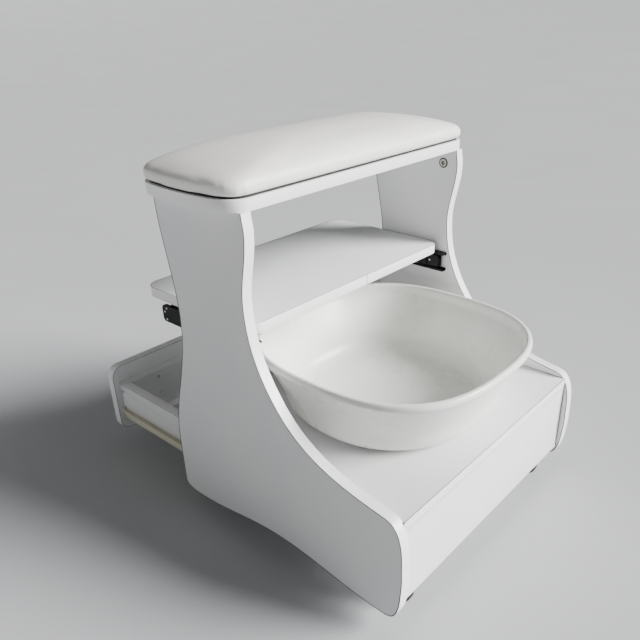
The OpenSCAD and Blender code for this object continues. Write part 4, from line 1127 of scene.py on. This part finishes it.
def bulge(p, power=3.0):
    """1 on a soft-cornered oblong as large as the plan, less inside it."""
    return ((abs(p.x) / LONG) ** power + (abs(p.y) / DEEP) ** power) ** (1 / power)


def cushion_ring(margin, share, z):
    """The plan outline, shrunk to a share of its size. The smaller, the more evenly round."""
    ring = []
    for p in plan_outline(margin):
        f = share * (1 + (1 - share) * (1 / bulge(p) - 1))
        ring.append((p.x * f + pad_mid.x, p.y * f + pad_mid.y, z))
    return ring


def ring_mesh(name, rings, low_point, high_point):
    """Rings of equal count, closed by a fan to a point below and one above."""
    n = len(rings[0])
    points = [p for ring in rings for p in ring] + [low_point, high_point]
    last = (len(rings) - 1) * n
    faces = [(k + i, k + (i + 1) % n, k + n + (i + 1) % n, k + n + i)
             for k in range(0, last, n) for i in range(n)]
    for i in range(n):
        j = (i + 1) % n
        faces += [(len(points) - 2, j, i), (len(points) - 1, last + i, last + j)]
    mesh = bpy.data.meshes.new(name)
    mesh.from_pydata(points, [], faces)
    return mesh


rings = [cushion_ring(margin, 1, bottom + height) for margin, height in SIDE_RINGS]
rings += [cushion_ring(GROW + CROWN_IN, share,
                       bottom + SIDE + (CROWN - GROW) * (1 - share**CROWN_POWER))
          for share in CROWN_SHARES]
cushion_mesh = ring_mesh("footrest_cushion", rings, (pad_mid.x, pad_mid.y, bottom),
                         (pad_mid.x, pad_mid.y, bottom + SIDE + CROWN - GROW))
outward(cushion_mesh, 180)
print("cushion start", len(cushion_mesh.polygons), "faces")

# %% [markdown]
# The recipe: an even skin from a voxel remesh, cloth with pressure and no gravity, twenty frames,
# then a cap on how far each point went. The underside is pinned, because it is stapled flat.

# %% Cushion simulation
VOXEL = 0.005
CAP = 0.0045
HELD_HEIGHT, HELD_FADE = 0.010, 0.006
FRAMES = 20


def swell(mesh, name):
    """Makes the piece, and blows it up a little."""
    piece = bpy.data.objects.new(name, mesh)
    scene.collection.objects.link(piece)
    remesh = piece.modifiers.new("even_skin", "REMESH")
    remesh.mode = "VOXEL"
    remesh.voxel_size = VOXEL
    apply_modifiers(piece)
    start = np.array([v.co for v in piece.data.vertices])
    held = piece.vertex_groups.new(name="held")
    for i, height in enumerate(start[:, 2] - bottom):
        weight = float(np.clip((HELD_HEIGHT - height) / HELD_FADE, 0, 1))
        if weight > 0:
            held.add([i], weight, "REPLACE")
    cloth = piece.modifiers.new("foam", "CLOTH")
    cloth.settings.use_pressure = True
    cloth.settings.uniform_pressure_force = 4
    cloth.settings.vertex_group_mass = "held"
    cloth.settings.effector_weights.gravity = 0
    cloth.settings.quality = 6
    cloth.settings.tension_stiffness = 15
    cloth.settings.compression_stiffness = 5
    cloth.settings.bending_stiffness = 25
    cloth.point_cache.frame_start = 1
    cloth.point_cache.frame_end = FRAMES
    for number in range(1, FRAMES + 1):
        scene.frame_set(number)
    seen = piece.evaluated_get(bpy.context.evaluated_depsgraph_get())
    grown = np.array([v.co for v in seen.data.vertices])
    piece.modifiers.clear()
    scene.frame_set(1)
    move = grown - start
    length = np.linalg.norm(move, axis=1, keepdims=True)
    move *= np.minimum(1, CAP / np.maximum(length, 1e-9))
    piece.data.vertices.foreach_set("co", (start + move).ravel())
    print("cushion moved up to", round(float(length.max()) * 1000, 1), "mm, kept to",
          CAP * 1000)
    return piece


cushion = swell(cushion_mesh, "footrest_cushion")

# %% [markdown]
# After the simulation the cover is brought to its nominal size, and gets what the remesh would
# have erased: one level of subdivision, and small gathers where it is folded round the corners.

# %% Cushion finish
GATHER_DEPTH, GATHERS_PER_RADIAN = 0.0002, 26
GATHER_SPREAD = 0.45
GATHER_HEIGHT, GATHER_FADE = 0.35, 0.75
GATHER_FROM = 0.01
CORNER_SHARE = 0.7


def fit_to_box(mesh):
    """Stretches the cover by the last few tenths of a millimetre to its nominal size."""
    points = np.array([v.co for v in mesh.vertices])
    least, most = points.min(axis=0), points.max(axis=0)
    low, high = np.array(pad_low), np.array(pad_high)
    points = (points - least) / (most - least) * (high - low) + low
    mesh.vertices.foreach_set("co", points.ravel())


def corner_gathers(mesh):
    """Shallow upright folds near the four corners, fading out towards the shoulder."""
    corner = Vector((LONG - CORNER * CORNER_SHARE, DEEP - CORNER * CORNER_SHARE))
    for v in mesh.vertices:
        p = v.co - pad_mid
        away = Vector((abs(p.x), abs(p.y))) - corner
        angle = math.atan2(away.y, away.x)
        near = math.exp(-((angle - math.pi / 4) / GATHER_SPREAD) ** 2) * (away.length > GATHER_FROM)
        height = (v.co.z - bottom) / SIDE
        fade = max(0.0, 1 - abs(height - GATHER_HEIGHT) / GATHER_FADE)
        wave = math.sin(angle * GATHERS_PER_RADIAN) * near * fade * GATHER_DEPTH
        out = Vector((math.copysign(math.cos(angle), p.x), math.copysign(math.sin(angle), p.y), 0))
        v.co += out * wave


relax = cushion.modifiers.new("relax", "SMOOTH")
relax.factor, relax.iterations = 0.5, 12
finer = cushion.modifiers.new("finer", "SUBSURF")
finer.levels = finer.render_levels = 1
apply_modifiers(cushion)
fit_to_box(cushion.data)
corner_gathers(cushion.data)
open_edges, volume = outward(cushion.data, 180)
print("cushion", len(cushion.data.polygons), "faces, open edges", open_edges, "litres",
      round(volume * 1000, 1))
cushion.data.materials.clear()
cushion.data.materials.append(leatherette)
stand_for(cushion, "cushion_pad")

# %% [markdown]
# ## Floor
# A plain pale floor. Far from the object it rises by a few degrees, as a studio sweep does. A wall
# of the same tone goes on from there, for views from low down. It is only seen, and neither lights
# nor shades anything. Both are no part of the object.

# %% Floor
AROUND = 96
FLAT_RADIUS, SWEEP = 6.0, 0.0036
RING_RADII = (6, 8, 10.5, 13.5, 17, 21, 25, 30)


def set_up(name, points, faces, finish):
    """A mesh object of one finish in the scene."""
    mesh = bpy.data.meshes.new(name)
    mesh.from_pydata(points, [], faces)
    mesh.materials.append(finish)
    piece = bpy.data.objects.new(name, mesh)
    scene.collection.objects.link(piece)
    print(name, len(faces), "faces")
    return piece


def strip(a, b):
    """Quads between two rings of points that start at a and at b."""
    return [(a + i, b + i, b + (i + 1) % AROUND, a + (i + 1) % AROUND) for i in range(AROUND)]


floor_finish, surface = finish_of("pale_studio_floor", "#BEBFC1", {"Roughness": 0.7})
blotch(surface, "#BCBDBF", "#C0C1C3", 600)
turns = [2 * math.pi * i / AROUND for i in range(AROUND)]
floor_points = [(0, 0, 0)] + [
    (r * math.cos(turn), r * math.sin(turn), SWEEP * (r - FLAT_RADIUS) ** 2)
    for r in RING_RADII for turn in turns]
floor_faces = [(0, 1 + i, 1 + (i + 1) % AROUND) for i in range(AROUND)]
for k in range(len(RING_RADII) - 1):
    floor_faces += strip(1 + k * AROUND, 1 + (k + 1) * AROUND)
floor = set_up("floor", floor_points, floor_faces, floor_finish)
smooth_by_angle(floor.data)

# %% Backdrop
WALL_GLOW, WALL_HEIGHT = 0.72, 28
wall_finish, surface = finish_of(
    "pale_backdrop", "#050505",
    {"Roughness": 1.0, "Emission Color": (*srgb("#F4F5F7"), 1), "Emission Strength": WALL_GLOW})
rim = floor_points[-AROUND:]
wall_points = rim + [(x, y, WALL_HEIGHT) for x, y, z in rim]
backdrop = set_up("backdrop", wall_points, strip(0, AROUND), wall_finish)
for rays in ("shadow", "diffuse", "glossy", "transmission"):
    setattr(backdrop, "visible_" + rays, False)
